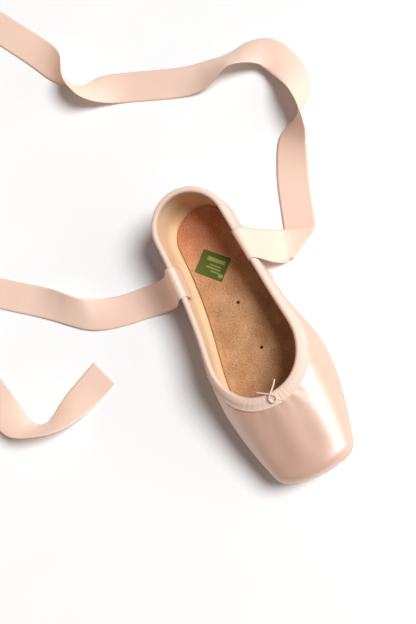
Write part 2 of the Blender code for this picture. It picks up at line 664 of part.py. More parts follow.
def make_ribbon(name, rows, material):
    """Flat ribbon along its route; its cross lines slant at a fold, so its width holds."""
    route = smooth_route(rows, RIBBON_SECTIONS)
    centre = route[:, :3] * MILLIMETRE
    heading, tilt = np.radians(route[:, 3]), np.radians(route[:, 4])
    across = np.stack([
        np.cos(heading) * np.cos(tilt), np.sin(heading) * np.cos(tilt), np.sin(tilt)], axis=1)
    travel = np.gradient(centre, axis=0)
    travel /= np.linalg.norm(travel, axis=1, keepdims=True)
    face = np.cross(travel, across)
    slant = np.clip(np.linalg.norm(face, axis=1, keepdims=True), NARROWEST_SLANT, 1.0)
    face /= np.linalg.norm(face, axis=1, keepdims=True)
    side = across * RIBBON_WIDTH / 2 / slant
    half = face * RIBBON_THICKNESS / 2
    section = np.stack([
        centre - side + half, centre + side + half, centre + side - half,
        centre - side - half], axis=1)
    lowest = section[..., 2].min(axis=1, keepdims=True)
    section[..., 2] += np.clip(FLOOR_CLEARANCE - lowest, 0.0, None)
    section[..., 1] += MIDDLE
    return add_mesh(name, section, ribbon_faces(len(section)), material)


def ribbon_faces(count):
    """Faces round four-cornered sections; both flat sides are cut along the same diagonal.

    Where the ribbon twists, its flat sides aren't plane. Cut along different diagonals they
    would pass through each other.
    """
    faces = [(0, 1, 2, 3)]
    for row in range(count - 1):
        a, b, c, d = range(row * 4, row * 4 + 4)
        e, f, g, h = range(row * 4 + 4, row * 4 + 8)
        faces += [(a, e, f), (a, f, b), (c, g, d), (g, h, d)]
        faces += [(b, f, g, c), (d, h, e, a)]
    last = (count - 1) * 4
    faces.append((last + 3, last + 2, last + 1, last))
    return faces


def make_drawstring(material):
    """Tied cord at the throat: a small loop and two cut ends."""
    turn = np.array([0.5])
    profiles = measured_profiles(turn)
    edge = wall_grid(turn, np.zeros((1, 1)), profiles)[0][0, 0]
    base = Vector((0.0, edge[1] - MIDDLE,
                   edge[2] + 2 * FIT + BINDING_THICKNESS + CORD_DIAMETER / 2))
    curve = bpy.data.curves.new("drawstring", "CURVE")
    curve.dimensions = "3D"
    curve.bevel_depth = CORD_DIAMETER / 2
    curve.bevel_resolution = 2
    curve.use_fill_caps = True
    spline = curve.splines.new("POLY")
    points = smooth_route(CORD_ROUTE, CORD_SECTIONS)
    spline.points.add(len(points) - 1)
    for point, place in zip(spline.points, points):
        point.co = (*(base + Vector(place) * MILLIMETRE), 1.0)
    curve.materials.append(material)
    item = bpy.data.objects.new("drawstring", curve)
    bpy.context.scene.collection.objects.link(item)
    return item


def make_tack(name, along, material):
    """Low domed head of a tack on the insole's middle line."""
    seat = float(insole_under(np.zeros(1), np.array([along]))[0]) + INSOLE_THICKNESS + FIT
    vertices = []
    for radius, height in TACK_RINGS:
        for step in range(TACK_SIDES):
            angle = step * math.tau / TACK_SIDES
            vertices.append((TACK_RADIUS * radius * math.cos(angle),
                             along + TACK_RADIUS * radius * math.sin(angle),
                             seat + TACK_HEIGHT * height))
    top = (len(TACK_RINGS) - 1) * TACK_SIDES
    faces = [tuple(range(TACK_SIDES - 1, -1, -1)), tuple(range(top, top + TACK_SIDES))]
    for low in range(0, top, TACK_SIDES):
        high = low + TACK_SIDES
        for step in range(TACK_SIDES):
            right = (step + 1) % TACK_SIDES
            faces.append((low + step, low + right, high + right, high + step))
    return add_mesh(name, vertices, faces, material)


def main():
    for item in list(bpy.data.objects):
        bpy.data.objects.remove(item, do_unlink=True)
    satin = make_material("satin", "EBCFC0", 0.35, 0.3)
    casing = make_material("casing", "F5E0D5", 0.55, 0.2)
    tape = make_material("tape", "E2BFAE", 0.4, 0.2)
    seam = make_material("seam", "EFD6C9", 0.45)
    leather = make_material("sole_leather", "CF9B78", 0.6)
    board = make_material("insole_cover", "C29068", 0.85)
    steel = make_material("tack_steel", "3A2A22", 0.5)
    make_upper(satin)
    make_outsole(leather)
    make_insole(board)
    make_binding(casing)
    make_heel_tape(tape)
    make_side_seam("side_seam_left", 1, seam)
    make_side_seam("side_seam_right", -1, seam)
    ribbon = make_material("ribbon_satin", "F6D3BF", 0.4, 0.2)
    cord = make_material("cord_cotton", "F2D9C8", 0.7)
    make_ribbon("ribbon_right", RIBBON_RIGHT, ribbon)
    make_ribbon("ribbon_left", RIBBON_LEFT, ribbon)
    make_drawstring(cord)
    for number, place in enumerate(TACK_PLACES, start=1):
        make_tack("insole_tack_%d" % number, place, steel)


main()
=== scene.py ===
# %% [markdown]
# Pointe shoe with two ribbons
#
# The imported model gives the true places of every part. This script dresses it: each piece
# of cloth or leather is worked out again as a fine surface on the same last, and gets the
# finish of the real material.

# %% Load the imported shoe
import math

import bpy
import numpy as np
from mathutils import Matrix, Vector


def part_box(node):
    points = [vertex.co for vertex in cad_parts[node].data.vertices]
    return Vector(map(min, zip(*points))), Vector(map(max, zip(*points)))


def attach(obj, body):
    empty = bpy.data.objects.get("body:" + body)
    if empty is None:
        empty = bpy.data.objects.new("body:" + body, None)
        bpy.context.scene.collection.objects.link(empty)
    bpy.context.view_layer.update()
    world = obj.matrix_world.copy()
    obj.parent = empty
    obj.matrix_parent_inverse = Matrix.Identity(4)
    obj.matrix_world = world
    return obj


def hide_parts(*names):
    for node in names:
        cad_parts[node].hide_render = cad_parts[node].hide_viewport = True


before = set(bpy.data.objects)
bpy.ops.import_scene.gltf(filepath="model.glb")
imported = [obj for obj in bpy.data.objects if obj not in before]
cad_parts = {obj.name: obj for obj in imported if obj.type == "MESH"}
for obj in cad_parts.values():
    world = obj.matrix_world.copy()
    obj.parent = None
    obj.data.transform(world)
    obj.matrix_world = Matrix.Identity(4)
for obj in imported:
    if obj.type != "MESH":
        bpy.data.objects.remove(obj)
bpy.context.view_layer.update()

MM = 0.001

# %% [markdown]
# Camera
#
# The shoe is seen from above, a little over the toe. The camera's place was fitted to the
# outline of the shoe, so it is given as a point, a point on the floor that it looks at, and
# the direction that is up in the picture. The picture is 416 by 624, upright, so the lens
# is measured on the sensor's height.

# %% Make the camera


def place_object(name, data):
    """Object with that data, linked to the scene."""
    item = bpy.data.objects.new(name, data)
    bpy.context.scene.collection.objects.link(item)
    return item


CAMERA_PLACE = Vector((-0.1614, 0.16355, 0.7670))
CAMERA_TARGET = Vector((0.0269, -0.03365, 0.0))
CAMERA_UP = Vector((-0.4816, -0.8700, 0.1055))
SENSOR_HEIGHT = 36.0
LENS = 61.15


def make_camera():
    """The scene's camera: its axes are right, up and back, at right angles to each other."""
    back = (CAMERA_PLACE - CAMERA_TARGET).normalized()
    right = CAMERA_UP.cross(back).normalized()
    up = back.cross(right)
    data = bpy.data.cameras.new("camera")
    data.sensor_fit = "VERTICAL"
    data.sensor_height = SENSOR_HEIGHT
    data.lens = LENS
    data.clip_start, data.clip_end = 0.01, 20.0
    camera = place_object("camera", data)
    turn = Matrix((right, up, back)).transposed()
    camera.matrix_world = Matrix.Translation(CAMERA_PLACE) @ turn.to_4x4()
    bpy.context.scene.camera = camera


make_camera()
print("camera looks at", tuple(CAMERA_TARGET))

# %% [markdown]
# Colours and nodes
#
# Colours are written as sRGB hex, the way a picture shows them, and one function turns them
# into the linear values that a shader expects. One helper adds a node, fills in its values
# and links it.

# %% Helpers for materials


def linear(colour):
    """Linear RGBA of an sRGB hex colour: each channel to the power 2.4 above a short toe."""
    channels = [int(colour[start:start + 2], 16) / 255 for start in (0, 2, 4)]
    bright = [((c + 0.055) / 1.055) ** 2.4 if c > 0.04045 else c / 12.92 for c in channels]
    return (*bright, 1.0)


def add_node(tree, kind, settings=(), links=()):
    """Node of that kind: settings are pairs of a property or input and its value."""
    node = tree.nodes.new(kind)
    for name, value in settings:
        if isinstance(name, int) or name in node.inputs:
            node.inputs[name].default_value = value
        else:
            setattr(node, name, value)
    for name, socket in links:
        tree.links.new(socket, node.inputs[name])
    return node


def new_material(name, colour, roughness, settings=()):
    """Material with a Principled shader, its node tree and the shader."""
    material = bpy.data.materials.new(name)
    material.use_nodes = True
    tree = material.node_tree
    shader = tree.nodes["Principled BSDF"]
    shader.inputs["Base Color"].default_value = linear(colour)
    shader.inputs["Roughness"].default_value = roughness
    for socket, value in settings:
        shader.inputs[socket].default_value = value
    return material, tree, shader


def mix_colours(tree, factor, first, second, blend="MIX"):
    """Two colours mixed, each a hex colour or a socket, by a factor: a number or a socket."""
    node = add_node(tree, "ShaderNodeMix", [("data_type", "RGBA"), ("blend_type", blend)])
    for place, value in ((0, factor), (6, first), (7, second)):
        if isinstance(value, bpy.types.NodeSocket):
            tree.links.new(value, node.inputs[place])
        else:
            node.inputs[place].default_value = linear(value) if isinstance(value, str) else value
    return node.outputs[2]


def two_tones(tree, shader, factor, first, second):
    """Base colour that goes from the first hex colour to the second with a factor socket."""
    tree.links.new(mix_colours(tree, factor, first, second), shader.inputs["Base Color"])


def relief_value(tree):
    """The value that a mesh carries at each of its points."""
    return add_node(tree, "ShaderNodeAttribute", [("attribute_name", "relief")]).outputs["Fac"]


def bands(tree, where, direction, spacing):
    """Bands across a coordinate, one each spacing: a wave's period is 0.1 pi over its scale."""
    return add_node(tree, "ShaderNodeTexWave", [
        ("bands_direction", direction), ("Scale", 0.1 * math.pi / spacing),
        ("Distortion", 0.0)], [("Vector", where)]).outputs["Fac"]


def blotches(tree, where, size, stretch=(1.0, 1.0, 1.0), detail=3.0):
    """Soft noise whose patches are about that size, drawn out by stretch."""
    scaled = add_node(tree, "ShaderNodeMapping", [("Scale", stretch)], [("Vector", where)])
    return add_node(tree, "ShaderNodeTexNoise", [
        ("Scale", 1.0 / size), ("Detail", detail)],
        [("Vector", scaled.outputs["Vector"])]).outputs["Fac"]


def add_bump(tree, shader, layers):
    """Bumps on the shader's normal, one on another: pairs of a height socket and a depth."""
    normal = None
    for height, depth in layers:
        links = [("Height", height)] + ([("Normal", normal)] if normal else [])
        bump = add_node(tree, "ShaderNodeBump", [("Distance", depth), ("Strength", 1.0)], links)
        normal = bump.outputs["Normal"]
    tree.links.new(normal, shader.inputs["Normal"])


def coordinate(tree, name):
    """A socket of the Texture Coordinate node: UV in metres, or Object."""
    return add_node(tree, "ShaderNodeTexCoord").outputs[name]


# %% [markdown]
# Materials
#
# The upper is duchess satin: long floating threads on the face give a soft glow along one
# line, and a matt shade away from it. The collar's casing is a matt cotton tape in twill.
# The lining is plain cotton canvas, the sock is cotton cloth glued on board, and the outsole
# is split leather pressed with grooves. Threads finer than the picture can show are drawn
# coarser than they are, and each line below says so.

# %% Satin and ribbon
SATIN_THREAD = 0.45 * MM        # real threads are 0.12 mm apart
RIBBON_THREAD = 0.5 * MM        # real threads are 0.15 mm apart
THREAD_DEPTH = 0.006 * MM
STREAK_DEPTH = 0.03 * MM


def add_satin_threads(tree, shader, where, spacing, streak, stretch):
    """Bumps of the floating threads, and of streaks of that size and stretch along them."""
    threads = bands(tree, where, "X", spacing)
    streaks = blotches(tree, where, streak, stretch)
    add_bump(tree, shader, [(streaks, STREAK_DEPTH), (threads, THREAD_DEPTH)])


def satin_material():
    """Duchess satin, woven: broad soft gloss, faint streaks along the floating threads."""
    material, tree, shader = new_material("satin_woven_pink", "DCB6A3", 0.42, [
        ("IOR", 2.3), ("Specular IOR Level", 0.8), ("Specular Tint", linear("FFFAF6")),
        ("Sheen Weight", 0.1), ("Sheen Roughness", 0.4), ("Sheen Tint", linear("FFE8DC"))])
    where = coordinate(tree, "UV")
    two_tones(tree, shader, blotches(tree, where, 30 * MM), "DDAD94", "E3B8A1")
    add_satin_threads(tree, shader, where, SATIN_THREAD, 3 * MM, (5.0, 0.5, 1.0))
    return material


def ribbon_material():
    """Ribbon satin, woven: lighter and flatter than the shoe's, with a firm edge."""
    material, tree, shader = new_material("ribbon_satin_woven", "F8DBCA", 0.48, [
        ("Specular IOR Level", 0.45), ("Sheen Weight", 0.2), ("Sheen Roughness", 0.4),
        ("Sheen Tint", linear("FFF2EA"))])
    where = coordinate(tree, "UV")
    two_tones(tree, shader, blotches(tree, where, 40 * MM), "F6D0BB", "F8D8C6")
    add_satin_threads(tree, shader, where, RIBBON_THREAD, 4 * MM, (5.0, 0.4, 1.0))
    return material


SATIN = satin_material()
RIBBON = ribbon_material()
print("materials", SATIN.name, RIBBON.name)

# %% Cotton tape, canvas and thread
TWILL = 0.9 * MM                # real twill lines are 0.4 mm apart
CANVAS = 0.8 * MM               # real canvas threads are 0.5 mm apart
SOCK_THREAD = 0.75 * MM         # real sock cloth threads are 0.5 mm apart
MOTTLE_SHARE = 2.2              # weight of the fine mottle beside the broad clouds
MOTTLE_DARK, MOTTLE_LIGHT = 1.2, 2.0


def woven_heights(tree, where, spacing):
    """Plain weave: the larger of two crossed sets of threads at each point."""
    warp = bands(tree, where, "X", spacing)
    weft = bands(tree, where, "Y", spacing)
    return add_node(tree, "ShaderNodeMath", [("operation", "MAXIMUM")],
                    [(0, warp), (1, weft)]).outputs[0]


def casing_material():
    """Cotton tape, woven in twill: matt, its lines slant over the collar's edge."""
    material, tree, shader = new_material("cotton_twill_tape", "F0D3C5", 0.78, [
        ("Specular IOR Level", 0.3), ("Sheen Weight", 0.25), ("Sheen Roughness", 0.5)])
    where = coordinate(tree, "UV")
    slanted = add_node(tree, "ShaderNodeMapping", [("Rotation", (0.0, 0.0, math.radians(38)))],
                       [("Vector", where)]).outputs["Vector"]
    lines = bands(tree, slanted, "X", TWILL)
    two_tones(tree, shader, lines, "E8C5B2", "F1D4C4")
    add_bump(tree, shader, [(lines, 0.05 * MM)])
    return material


def lining_material():
    """Cotton canvas, unbleached, plain weave: matt cream."""
    material, tree, shader = new_material("cotton_canvas_lining", "E6C6A2", 0.85, [
        ("Specular IOR Level", 0.25), ("Sheen Weight", 0.15)])
    where = coordinate(tree, "UV")
    threads = woven_heights(tree, where, CANVAS)
    two_tones(tree, shader, threads, "DDB68C", "EBC9A2")
    add_bump(tree, shader, [(threads, 0.07 * MM)])
    return material


def sock_material():
    """Sock cloth, cotton glued to board: tan, mottled finely; painted shade reddens it toward the
    heel.
    """
    material, tree, shader = new_material("sock_cloth_tan", "BE8C62", 0.88, [
        ("Specular IOR Level", 0.2), ("Sheen Weight", 0.1)])
    where = coordinate(tree, "UV")
    threads = woven_heights(tree, where, SOCK_THREAD)
    # Painted shade: the redder, darker heel tones stand for shade and warm bounce light in the
    # heel.
    tan = mix_colours(tree, threads, "C5996F", "DBB187")
    red = mix_colours(tree, threads, "C68361", "DD9C79")
    cloth = mix_colours(tree, relief_value(tree), red, tan)
    mottle = blotches(tree, where, 0.8 * MM, (0.6, 1.3, 1.0))
    cloudy = blotches(tree, where, 14 * MM, detail=2.0)
    mixed = add_node(tree, "ShaderNodeMath", [("operation", "MULTIPLY_ADD"), (1, MOTTLE_SHARE)],
                     [(0, mottle), (2, cloudy)]).outputs[0]
    spread = add_node(tree, "ShaderNodeMapRange", [
        ("From Min", MOTTLE_DARK), ("From Max", MOTTLE_LIGHT)], [("Value", mixed)]).outputs[0]
    shade = mix_colours(tree, spread, "C8AF9B", "FFFFFF")
    mottled_cloth_and_painted_shade = mix_colours(tree, 1.0, cloth, shade, "MULTIPLY")
    tree.links.new(mottled_cloth_and_painted_shade, shader.inputs["Base Color"])
    add_bump(tree, shader, [(mottle, 0.06 * MM), (threads, 0.06 * MM)])
    return material


def thread_material():
    """Sewing thread, spun polyester: a little lighter than the satin."""
    material, tree, shader = new_material("polyester_thread", "F5E0D4", 0.55, [
        ("Sheen Weight", 0.2)])
    grain = blotches(tree, coordinate(tree, "Object"), 0.4 * MM)
    two_tones(tree, shader, grain, "EDD2C3", "FAEAE0")
    add_bump(tree, shader, [(grain, 0.04 * MM)])
    return material


CASING = casing_material()
LINING = lining_material()
SOCK = sock_material()
THREAD = thread_material()
print("materials", CASING.name, LINING.name, SOCK.name, THREAD.name)

# %% Leather, steel, label and cord


def leather_material():
    """Split leather, pressed: fine nap, darker at the bottom of the grooves."""
    material, tree, shader = new_material("split_leather_pressed", "CF9B78", 0.62, [
        ("Specular IOR Level", 0.35), ("Sheen Weight", 0.15)])
    where = coordinate(tree, "Object")
    nap = blotches(tree, where, 1.2 * MM, detail=8.0)
    base = mix_colours(tree, relief_value(tree), "A5684A", "D3A07D")
    tint = mix_colours(tree, blotches(tree, where, 22 * MM, detail=5.0), "D9BFAE", "FFFFFF")
    cloudy = mix_colours(tree, 0.35, base, tint, "MULTIPLY")
    tree.links.new(cloudy, shader.inputs["Base Color"])
    add_bump(tree, shader, [(nap, 0.08 * MM)])
    return material


def steel_material():
    """Tack of blued steel, pressed: dark and half glossy."""
    material, tree, shader = new_material("blued_steel_tack", "3A2B24", 0.38, [
        ("Metallic", 0.8)])
    scratch = blotches(tree, coordinate(tree, "Object"), 0.3 * MM)
    two_tones(tree, shader, scratch, "2A1E1A", "4A3830")
    add_bump(tree, shader, [(scratch, 0.03 * MM)])
    return material


def label_material():
    """Printed paper label: olive green with a plain pale print given by an attribute."""
    material, tree, shader = new_material("printed_paper_label", "55601A", 0.6)
    two_tones(tree, shader, relief_value(tree), "4F5C12", "949D52")
    grain = blotches(tree, coordinate(tree, "Object"), 0.5 * MM)
    add_bump(tree, shader, [(grain, 0.02 * MM)])
    return material


def cord_material():
    """Drawstring of braided cotton: matt, with slanted strands."""
    material, tree, shader = new_material("braided_cotton_cord", "F3DCCB", 0.8, [
        ("Sheen Weight", 0.2)])
    strands = bands(tree, coordinate(tree, "Object"), "DIAGONAL", 0.6 * MM)
    two_tones(tree, shader, strands, "DDBDA8", "ECD5C5")
    add_bump(tree, shader, [(strands, 0.08 * MM)])
    return material


LEATHER = leather_material()
STEEL = steel_material()
LABEL = label_material()
CORD = cord_material()
print("materials", LEATHER.name, STEEL.name, LABEL.name, CORD.name)

# %% [markdown]
# Meshes from arrays
#
# Every new piece is a grid of points worked out as one array. A ring is closed round the
# shoe and round its own section. A loft is an open row of sections with a cap at each end.
# If a closed mesh comes out with a volume below zero, its faces are turned over, so that
# they always point outwards.

# %% Helpers for meshes


def grid_corners(rows, columns, wrap_rows, wrap_columns):
    """Row and column of each quad's corners; a wrapped side counts on past its end."""
    row, column = np.meshgrid(
        np.arange(rows - 1 + wrap_rows), np.arange(columns - 1 + wrap_columns), indexing="ij")
    corner_rows = np.stack([row, row, row + 1, row + 1], axis=-1).reshape(-1, 4)
    corner_columns = np.stack([column, column + 1, column + 1, column], axis=-1).reshape(-1, 4)
    return corner_rows, corner_columns


def signed_volume(points, quads):
    """Sum over triangles of a corner dotted with the cross product of the others, over 6."""
    total = 0.0
    for a, b, c in ((0, 1, 2), (0, 2, 3)):
        p, q, r = (points[quads[:, corner]] for corner in (a, b, c))
        total += (p * np.cross(q, r)).sum() / 6
    return total


def add_piece(name, points, quads, material, corner_uv=None, relief=None):
    """Smooth mesh object from shoe coordinates, with UVs in metres and a relief attribute."""
    placed = points.reshape(-1, 3) - (0.0, MIDDLE, 0.0)
    if signed_volume(placed, quads) < 0:
        quads = quads[:, ::-1]
        corner_uv = None if corner_uv is None else corner_uv[:, ::-1]
    mesh = bpy.data.meshes.new(name)
    mesh.from_pydata(placed.tolist(), [], quads.tolist())
    if corner_uv is not None:
        layer = mesh.uv_layers.new(name="UVMap")
        layer.data.foreach_set("uv", np.ascontiguousarray(corner_uv, np.float32).ravel())
    if relief is not None:
        attribute = mesh.attributes.new("relief", "FLOAT", "POINT")
        attribute.data.foreach_set("value", relief.astype(np.float32).ravel())
    mesh.shade_smooth()
    mesh.materials.append(material)
    item = place_object(name, mesh)
    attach(item, "root")
    print(name, len(quads) * 2, "triangles")
    return item


def add_ring(name, section, material, measure):
    """Piece closed both ways; measure is (round, across) in metres with one more row."""
    rows, columns = section.shape[:2]
    corner_rows, corner_columns = grid_corners(rows, columns, True, True)
    quads = (corner_rows % rows) * columns + corner_columns % columns
    uv = measure[corner_rows, corner_columns % columns]
    return add_piece(name, section, quads, material, uv)


def add_loft(name, sections, material, measure=None, relief=None):
    """Piece from (copies, rows, loop) sections; point j of a loop faces its j-th from last."""
    copies, rows, loop = sections.shape[:3]
    corner_rows, corner_columns = grid_corners(rows, loop, False, True)
    quads = corner_rows * loop + corner_columns % loop
    first = np.arange(loop // 2 - 1)[:, None]
    start = np.concatenate([first + 1, first, loop - 1 - first, loop - 2 - first], axis=1)
    end = start[:, ::-1] + (rows - 1) * loop
    one = np.concatenate([quads, start, end])
    every = one[None] + np.arange(copies)[:, None, None] * rows * loop
    every = every.reshape(-1, 4)
    uv = None if measure is None else measure.reshape(-1, 2)[every]
    return add_piece(name, sections, every, material, uv, relief)


def smooth_step(value):
    """0 up to 0, 1 from 1, and an even S between: 3 v squared less 2 v cubed."""
    value = np.clip(value, 0.0, 1.0)
    return value * value * (3.0 - 2.0 * value)


def bump_line(distance, width):
    """Bell curve: 1 on the line and about a third at one width from it."""
    return np.exp(-(distance / width) ** 2)


def unit(vectors):
    """Vectors over their lengths."""
    return vectors / np.linalg.norm(vectors, axis=-1, keepdims=True)


def running_total(steps):
    """Sums of the steps so far, with a 0 before them."""
    return np.concatenate([[0.0], np.cumsum(steps)])


def distances_along(line):
    """Distance of each point of a line from its first, along the line."""
    return running_total(np.linalg.norm(np.diff(line, axis=0), axis=1))


def facing(first, second):
    """Loops made of a row of one face, then the same row of the other face backwards."""
    return np.concatenate([first, second[:, ::-1]], axis=1)


def spread_across(along, half, share):
    """X and place along of a grid in plan: x is a share of the half width at each place."""
    return share[None] * half[:, None], np.repeat(along[:, None], len(share), axis=1)


def edge_rounding(from_edge, radius):
    """Drop of a rounded edge: the radius less the height of a quarter circle."""
    return radius * (1.0 - np.sqrt(1.0 - np.clip(1.0 - from_edge / radius, 0, 1) ** 2))


# %% [markdown]
# Sizes and the last
#
# The last is the form of the foot that the shoe is pulled over. Here it is a field: a
# function that is below 0 inside and 0 on the surface, worked out from a table of sections.
# The surface is found by walking along rays from a spine in the middle. The numbers repeat
# those of the solids, so that cloth and solid lie on one surface.

# %% Sizes
UPPER_LOW, UPPER_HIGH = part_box("upper")
LENGTH = UPPER_HIGH.y - UPPER_LOW.y
MIDDLE = -UPPER_LOW.y           # back of the heel to the origin
BALL_WIDTH = 88 * MM
INSTEP_HEIGHT = 50 * MM
WAIST_HEIGHT = 38 * MM
HEEL_HEIGHT = 51 * MM
ARCH_RISE = 4.0 * MM
TOE_SPRING = 4.8 * MM
HEEL_ROUND = 28 * MM
PLATFORM_ROUND = 7.0 * MM
PLATFORM_DOME = 4.5 * MM        # the platform's middle stands out beyond its sides
INSTEP_RUN = 85 * MM
HEEL_RUN = 85 * MM
VAMP_LENGTH = 61.5 * MM
BOX_WALL = 2.8 * MM
QUARTER_WALL = 1.6 * MM
BOX_REACH = 98.5 * MM           # from the platform to where the quarters' thin wall starts
BOX_BLEND = 0.6                 # share of that reach over which the wall thickens
FIT = 0.3 * MM                  # gap between pieces that touch
SOLE_THICKNESS = 2.6 * MM
SOLE_WIDTH = 58 * MM
SOLE_TOE_MARGIN = 33.5 * MM
SOLE_HEEL_MARGIN = 14.5 * MM
SOLE_TOE_ROUND = 20 * MM
SOLE_TOE_POWER = 2.4
SOLE_HEEL_ROUND = 16.2 * MM
SOLE_LENGTH = LENGTH - SOLE_TOE_MARGIN - SOLE_HEEL_MARGIN
LASTING_MARGIN = 5.5 * MM
INSOLE_THICKNESS = 2.0 * MM
INSOLE_OVERLAP = 12.5 * MM
BINDING_DEPTH = 8.0 * MM
BINDING_INSIDE_DEPTH = 6.5 * MM
SIDE_POWER = 2.2
UNDER_POWER = 2.2
END_FLATNESS = 3.0
TOP_LINE_POWER = 1.6
HEEL_LINE_POWER = 2.0
HEEL_STEPS, SIDE_STEPS, TOE_STEPS = 22, 14, 32
TURN_TOTAL = HEEL_STEPS / 2 + SIDE_STEPS + TOE_STEPS / 2
HEEL_FAN, TOE_FAN = 0.128 * LENGTH, 0.62 * LENGTH
TOE_GATHER = 1.5
RAY_STEPS = 120                 # points walked down the wall
RAY_REACH = 0.75 * LENGTH
HALVINGS = 34
LOWEST_LIFT = 0.05              # radians: the collar's edge is looked for from here
HIGHEST_LIFT = math.pi / 2 - 0.02
FIELD_STEP = 0.01 * MM          # for the slope of the last's field
SLOPE_STEP = 0.1 * MM           # for the slope of its underside
BEND_REACH = 9 * MM             # rows of a grid gather where the wall turns by a radian

# Along is a share of the length, half of the ball's half width, and widest and ridge of the
# instep's height. Arch and spring are shares of their rises. Floor and crown are powers.
SECTION_COLUMNS = ("along", "half", "arch", "spring", "widest", "ridge", "floor", "crown")
SECTIONS = (
    (0.00, 0.655, -0.04, -0.30, 0.36, 1.42, 4.0, 3.5),
    (0.118, 0.665, -0.08, -0.30, 0.36, 1.37, 4.2, 3.5),
    (0.246, 0.690, 0.27, -0.30, 0.34, 1.28, 4.8, 3.5),
    (0.374, 0.735, 0.95, -0.30, 0.32, 1.21, 5.2, 3.4),
    (0.453, 0.790, 0.90, -0.30, 0.31, 1.18, 5.5, 3.2),
    (0.522, 0.870, 0.45, -0.30, 0.30, 1.165, 5.8, 2.9),
    (0.581, 0.955, 0.08, -0.30, 0.30, 1.14, 6.0, 2.6),
    (0.65, 1.000, -0.12, -0.24, 0.30, 1.085, 6.0, 2.35),
    (0.709, 0.995, -0.18, -0.10, 0.31, 1.02, 5.5, 2.3),
    (0.768, 0.955, -0.20, 0.09, 0.33, 0.945, 5.0, 2.3),
    (0.837, 0.880, -0.20, 0.37, 0.35, 0.85, 4.2, 2.4),
    (0.906, 0.785, -0.20, 0.70, 0.37, 0.755, 3.5, 2.5),
    (0.955, 0.705, -0.20, 0.92, 0.385, 0.70, 3.1, 2.6),
    (1.00, 0.635, -0.20, 1.00, 0.39, 0.67, 3.0, 2.6),
)
SOLE_COLUMNS = ("along", "half")
SOLE_OUTLINE = (
    (0.00, 0.555), (0.10, 0.555), (0.20, 0.560), (0.30, 0.585), (0.40, 0.645),
    (0.48, 0.730), (0.56, 0.840), (0.63, 0.935), (0.71, 1.000), (0.79, 0.985),
    (0.86, 0.930), (0.94, 0.840), (1.00, 0.760),
)
print("shoe", round(LENGTH / MM, 1), "mm long")

# %% The last's field


def table_spline(columns, rows):
    """Natural cubic through a table's rows: bends solve a band matrix, ends stay straight."""
    data = np.array(rows)
    x, values = data[:, 0], data[:, 1:]
    gap = np.diff(x)
    size = len(x)
    matrix = np.eye(size)
    right = np.zeros_like(values)
    for row in range(1, size - 1):
        matrix[row, row - 1:row + 2] = gap[row - 1], 2 * (gap[row - 1] + gap[row]), gap[row]
        right[row] = 6 * (
            (values[row + 1] - values[row]) / gap[row]
            - (values[row] - values[row - 1]) / gap[row - 1])
    bend = np.linalg.solve(matrix, right)

    def read(share):
        """Columns at a share: a straight line between rows, plus a cubic of their bends."""
        share = np.clip(share, x[0], x[-1])
        low = np.clip(np.searchsorted(x, share) - 1, 0, size - 2)
        step = gap[low]
        after = (share - x[low]) / step
        before = 1.0 - after
        result = {}
        for number, name in enumerate(columns[1:]):
            value, curve = values[:, number], bend[:, number]
            result[name] = (
                before * value[low] + after * value[low + 1]
                + ((before ** 3 - before) * curve[low]
                   + (after ** 3 - after) * curve[low + 1]) * step ** 2 / 6)
        return result
    return read


read_sections = table_spline(SECTION_COLUMNS, SECTIONS)
read_sole = table_spline(SOLE_COLUMNS, SOLE_OUTLINE)


def section_sizes(along):
    """Half width, underside, widest height and ridge height at a place along the shoe."""
    table = read_sections(along / LENGTH)
    return {
        "half": table["half"] * BALL_WIDTH / 2,
        "under": (SOLE_THICKNESS + FIT + np.clip(table["arch"], 0.0, None) * ARCH_RISE
                  + np.clip(table["spring"], 0.0, None) * TOE_SPRING),
        "widest": table["widest"] * INSTEP_HEIGHT,
        "ridge": table["ridge"] * INSTEP_HEIGHT,
        "floor": table["floor"],
        "crown": table["crown"],
    }


def last_field(point):
    """Squared-off ellipses: shares of the width, height and end reach, to powers, less 1."""
    x, along, z = point[..., 0], point[..., 1], point[..., 2]
    size = section_sizes(along)
    heel = np.clip((HEEL_ROUND - along) / HEEL_ROUND, 0.0, None)
    across = np.sqrt((x / size["half"]) ** 2 + heel ** 2)
    up = np.clip((z - size["widest"]) / (size["ridge"] - size["widest"]), 0.0, None)
    down = np.clip((size["widest"] - z) / (size["widest"] - size["under"]), 0.0, None)
    above = across ** SIDE_POWER + up ** size["crown"]
    below = across ** size["floor"] + down ** UNDER_POWER
    ring = np.where(z >= size["widest"], above, below)
    end = LENGTH - PLATFORM_DOME * (x / size["half"]) ** 2
    toe = np.clip((along - end + PLATFORM_ROUND) / PLATFORM_ROUND, 0.0, None)
    return ring ** END_FLATNESS + toe ** 2 - 1.0


def last_normals(points):
    """Outward directions of the last's surface, from the slope of its field."""
    slope = np.zeros_like(points)
    for axis in range(3):
        shift = np.zeros(3)
        shift[axis] = FIELD_STEP
        slope[..., axis] = last_field(points + shift) - last_field(points - shift)
    return unit(slope)


# %% Rays, profiles and walls


def ring_frame(turn):
    """Spine point and outward direction at each turn: a fan at the heel, a run, a toe fan."""
    half = np.where(turn <= 0.5, turn, 1.0 - turn) * 2.0
    side = np.where(turn <= 0.5, 1.0, -1.0)
    heel_end = HEEL_STEPS / 2 / TURN_TOTAL
    toe_start = (HEEL_STEPS / 2 + SIDE_STEPS) / TURN_TOTAL
    in_heel = np.clip(half / heel_end, 0.0, 1.0)
    on_side = np.clip((half - heel_end) / (toe_start - heel_end), 0.0, 1.0)
    in_toe = np.clip((half - toe_start) / (1.0 - toe_start), 0.0, 1.0)
    in_toe = 1.0 - (1.0 - in_toe) ** TOE_GATHER
    angle = (in_heel + in_toe) * math.pi / 2
    spine = HEEL_FAN + (TOE_FAN - HEEL_FAN) * on_side
    return spine, side * np.sin(angle), -np.cos(angle)


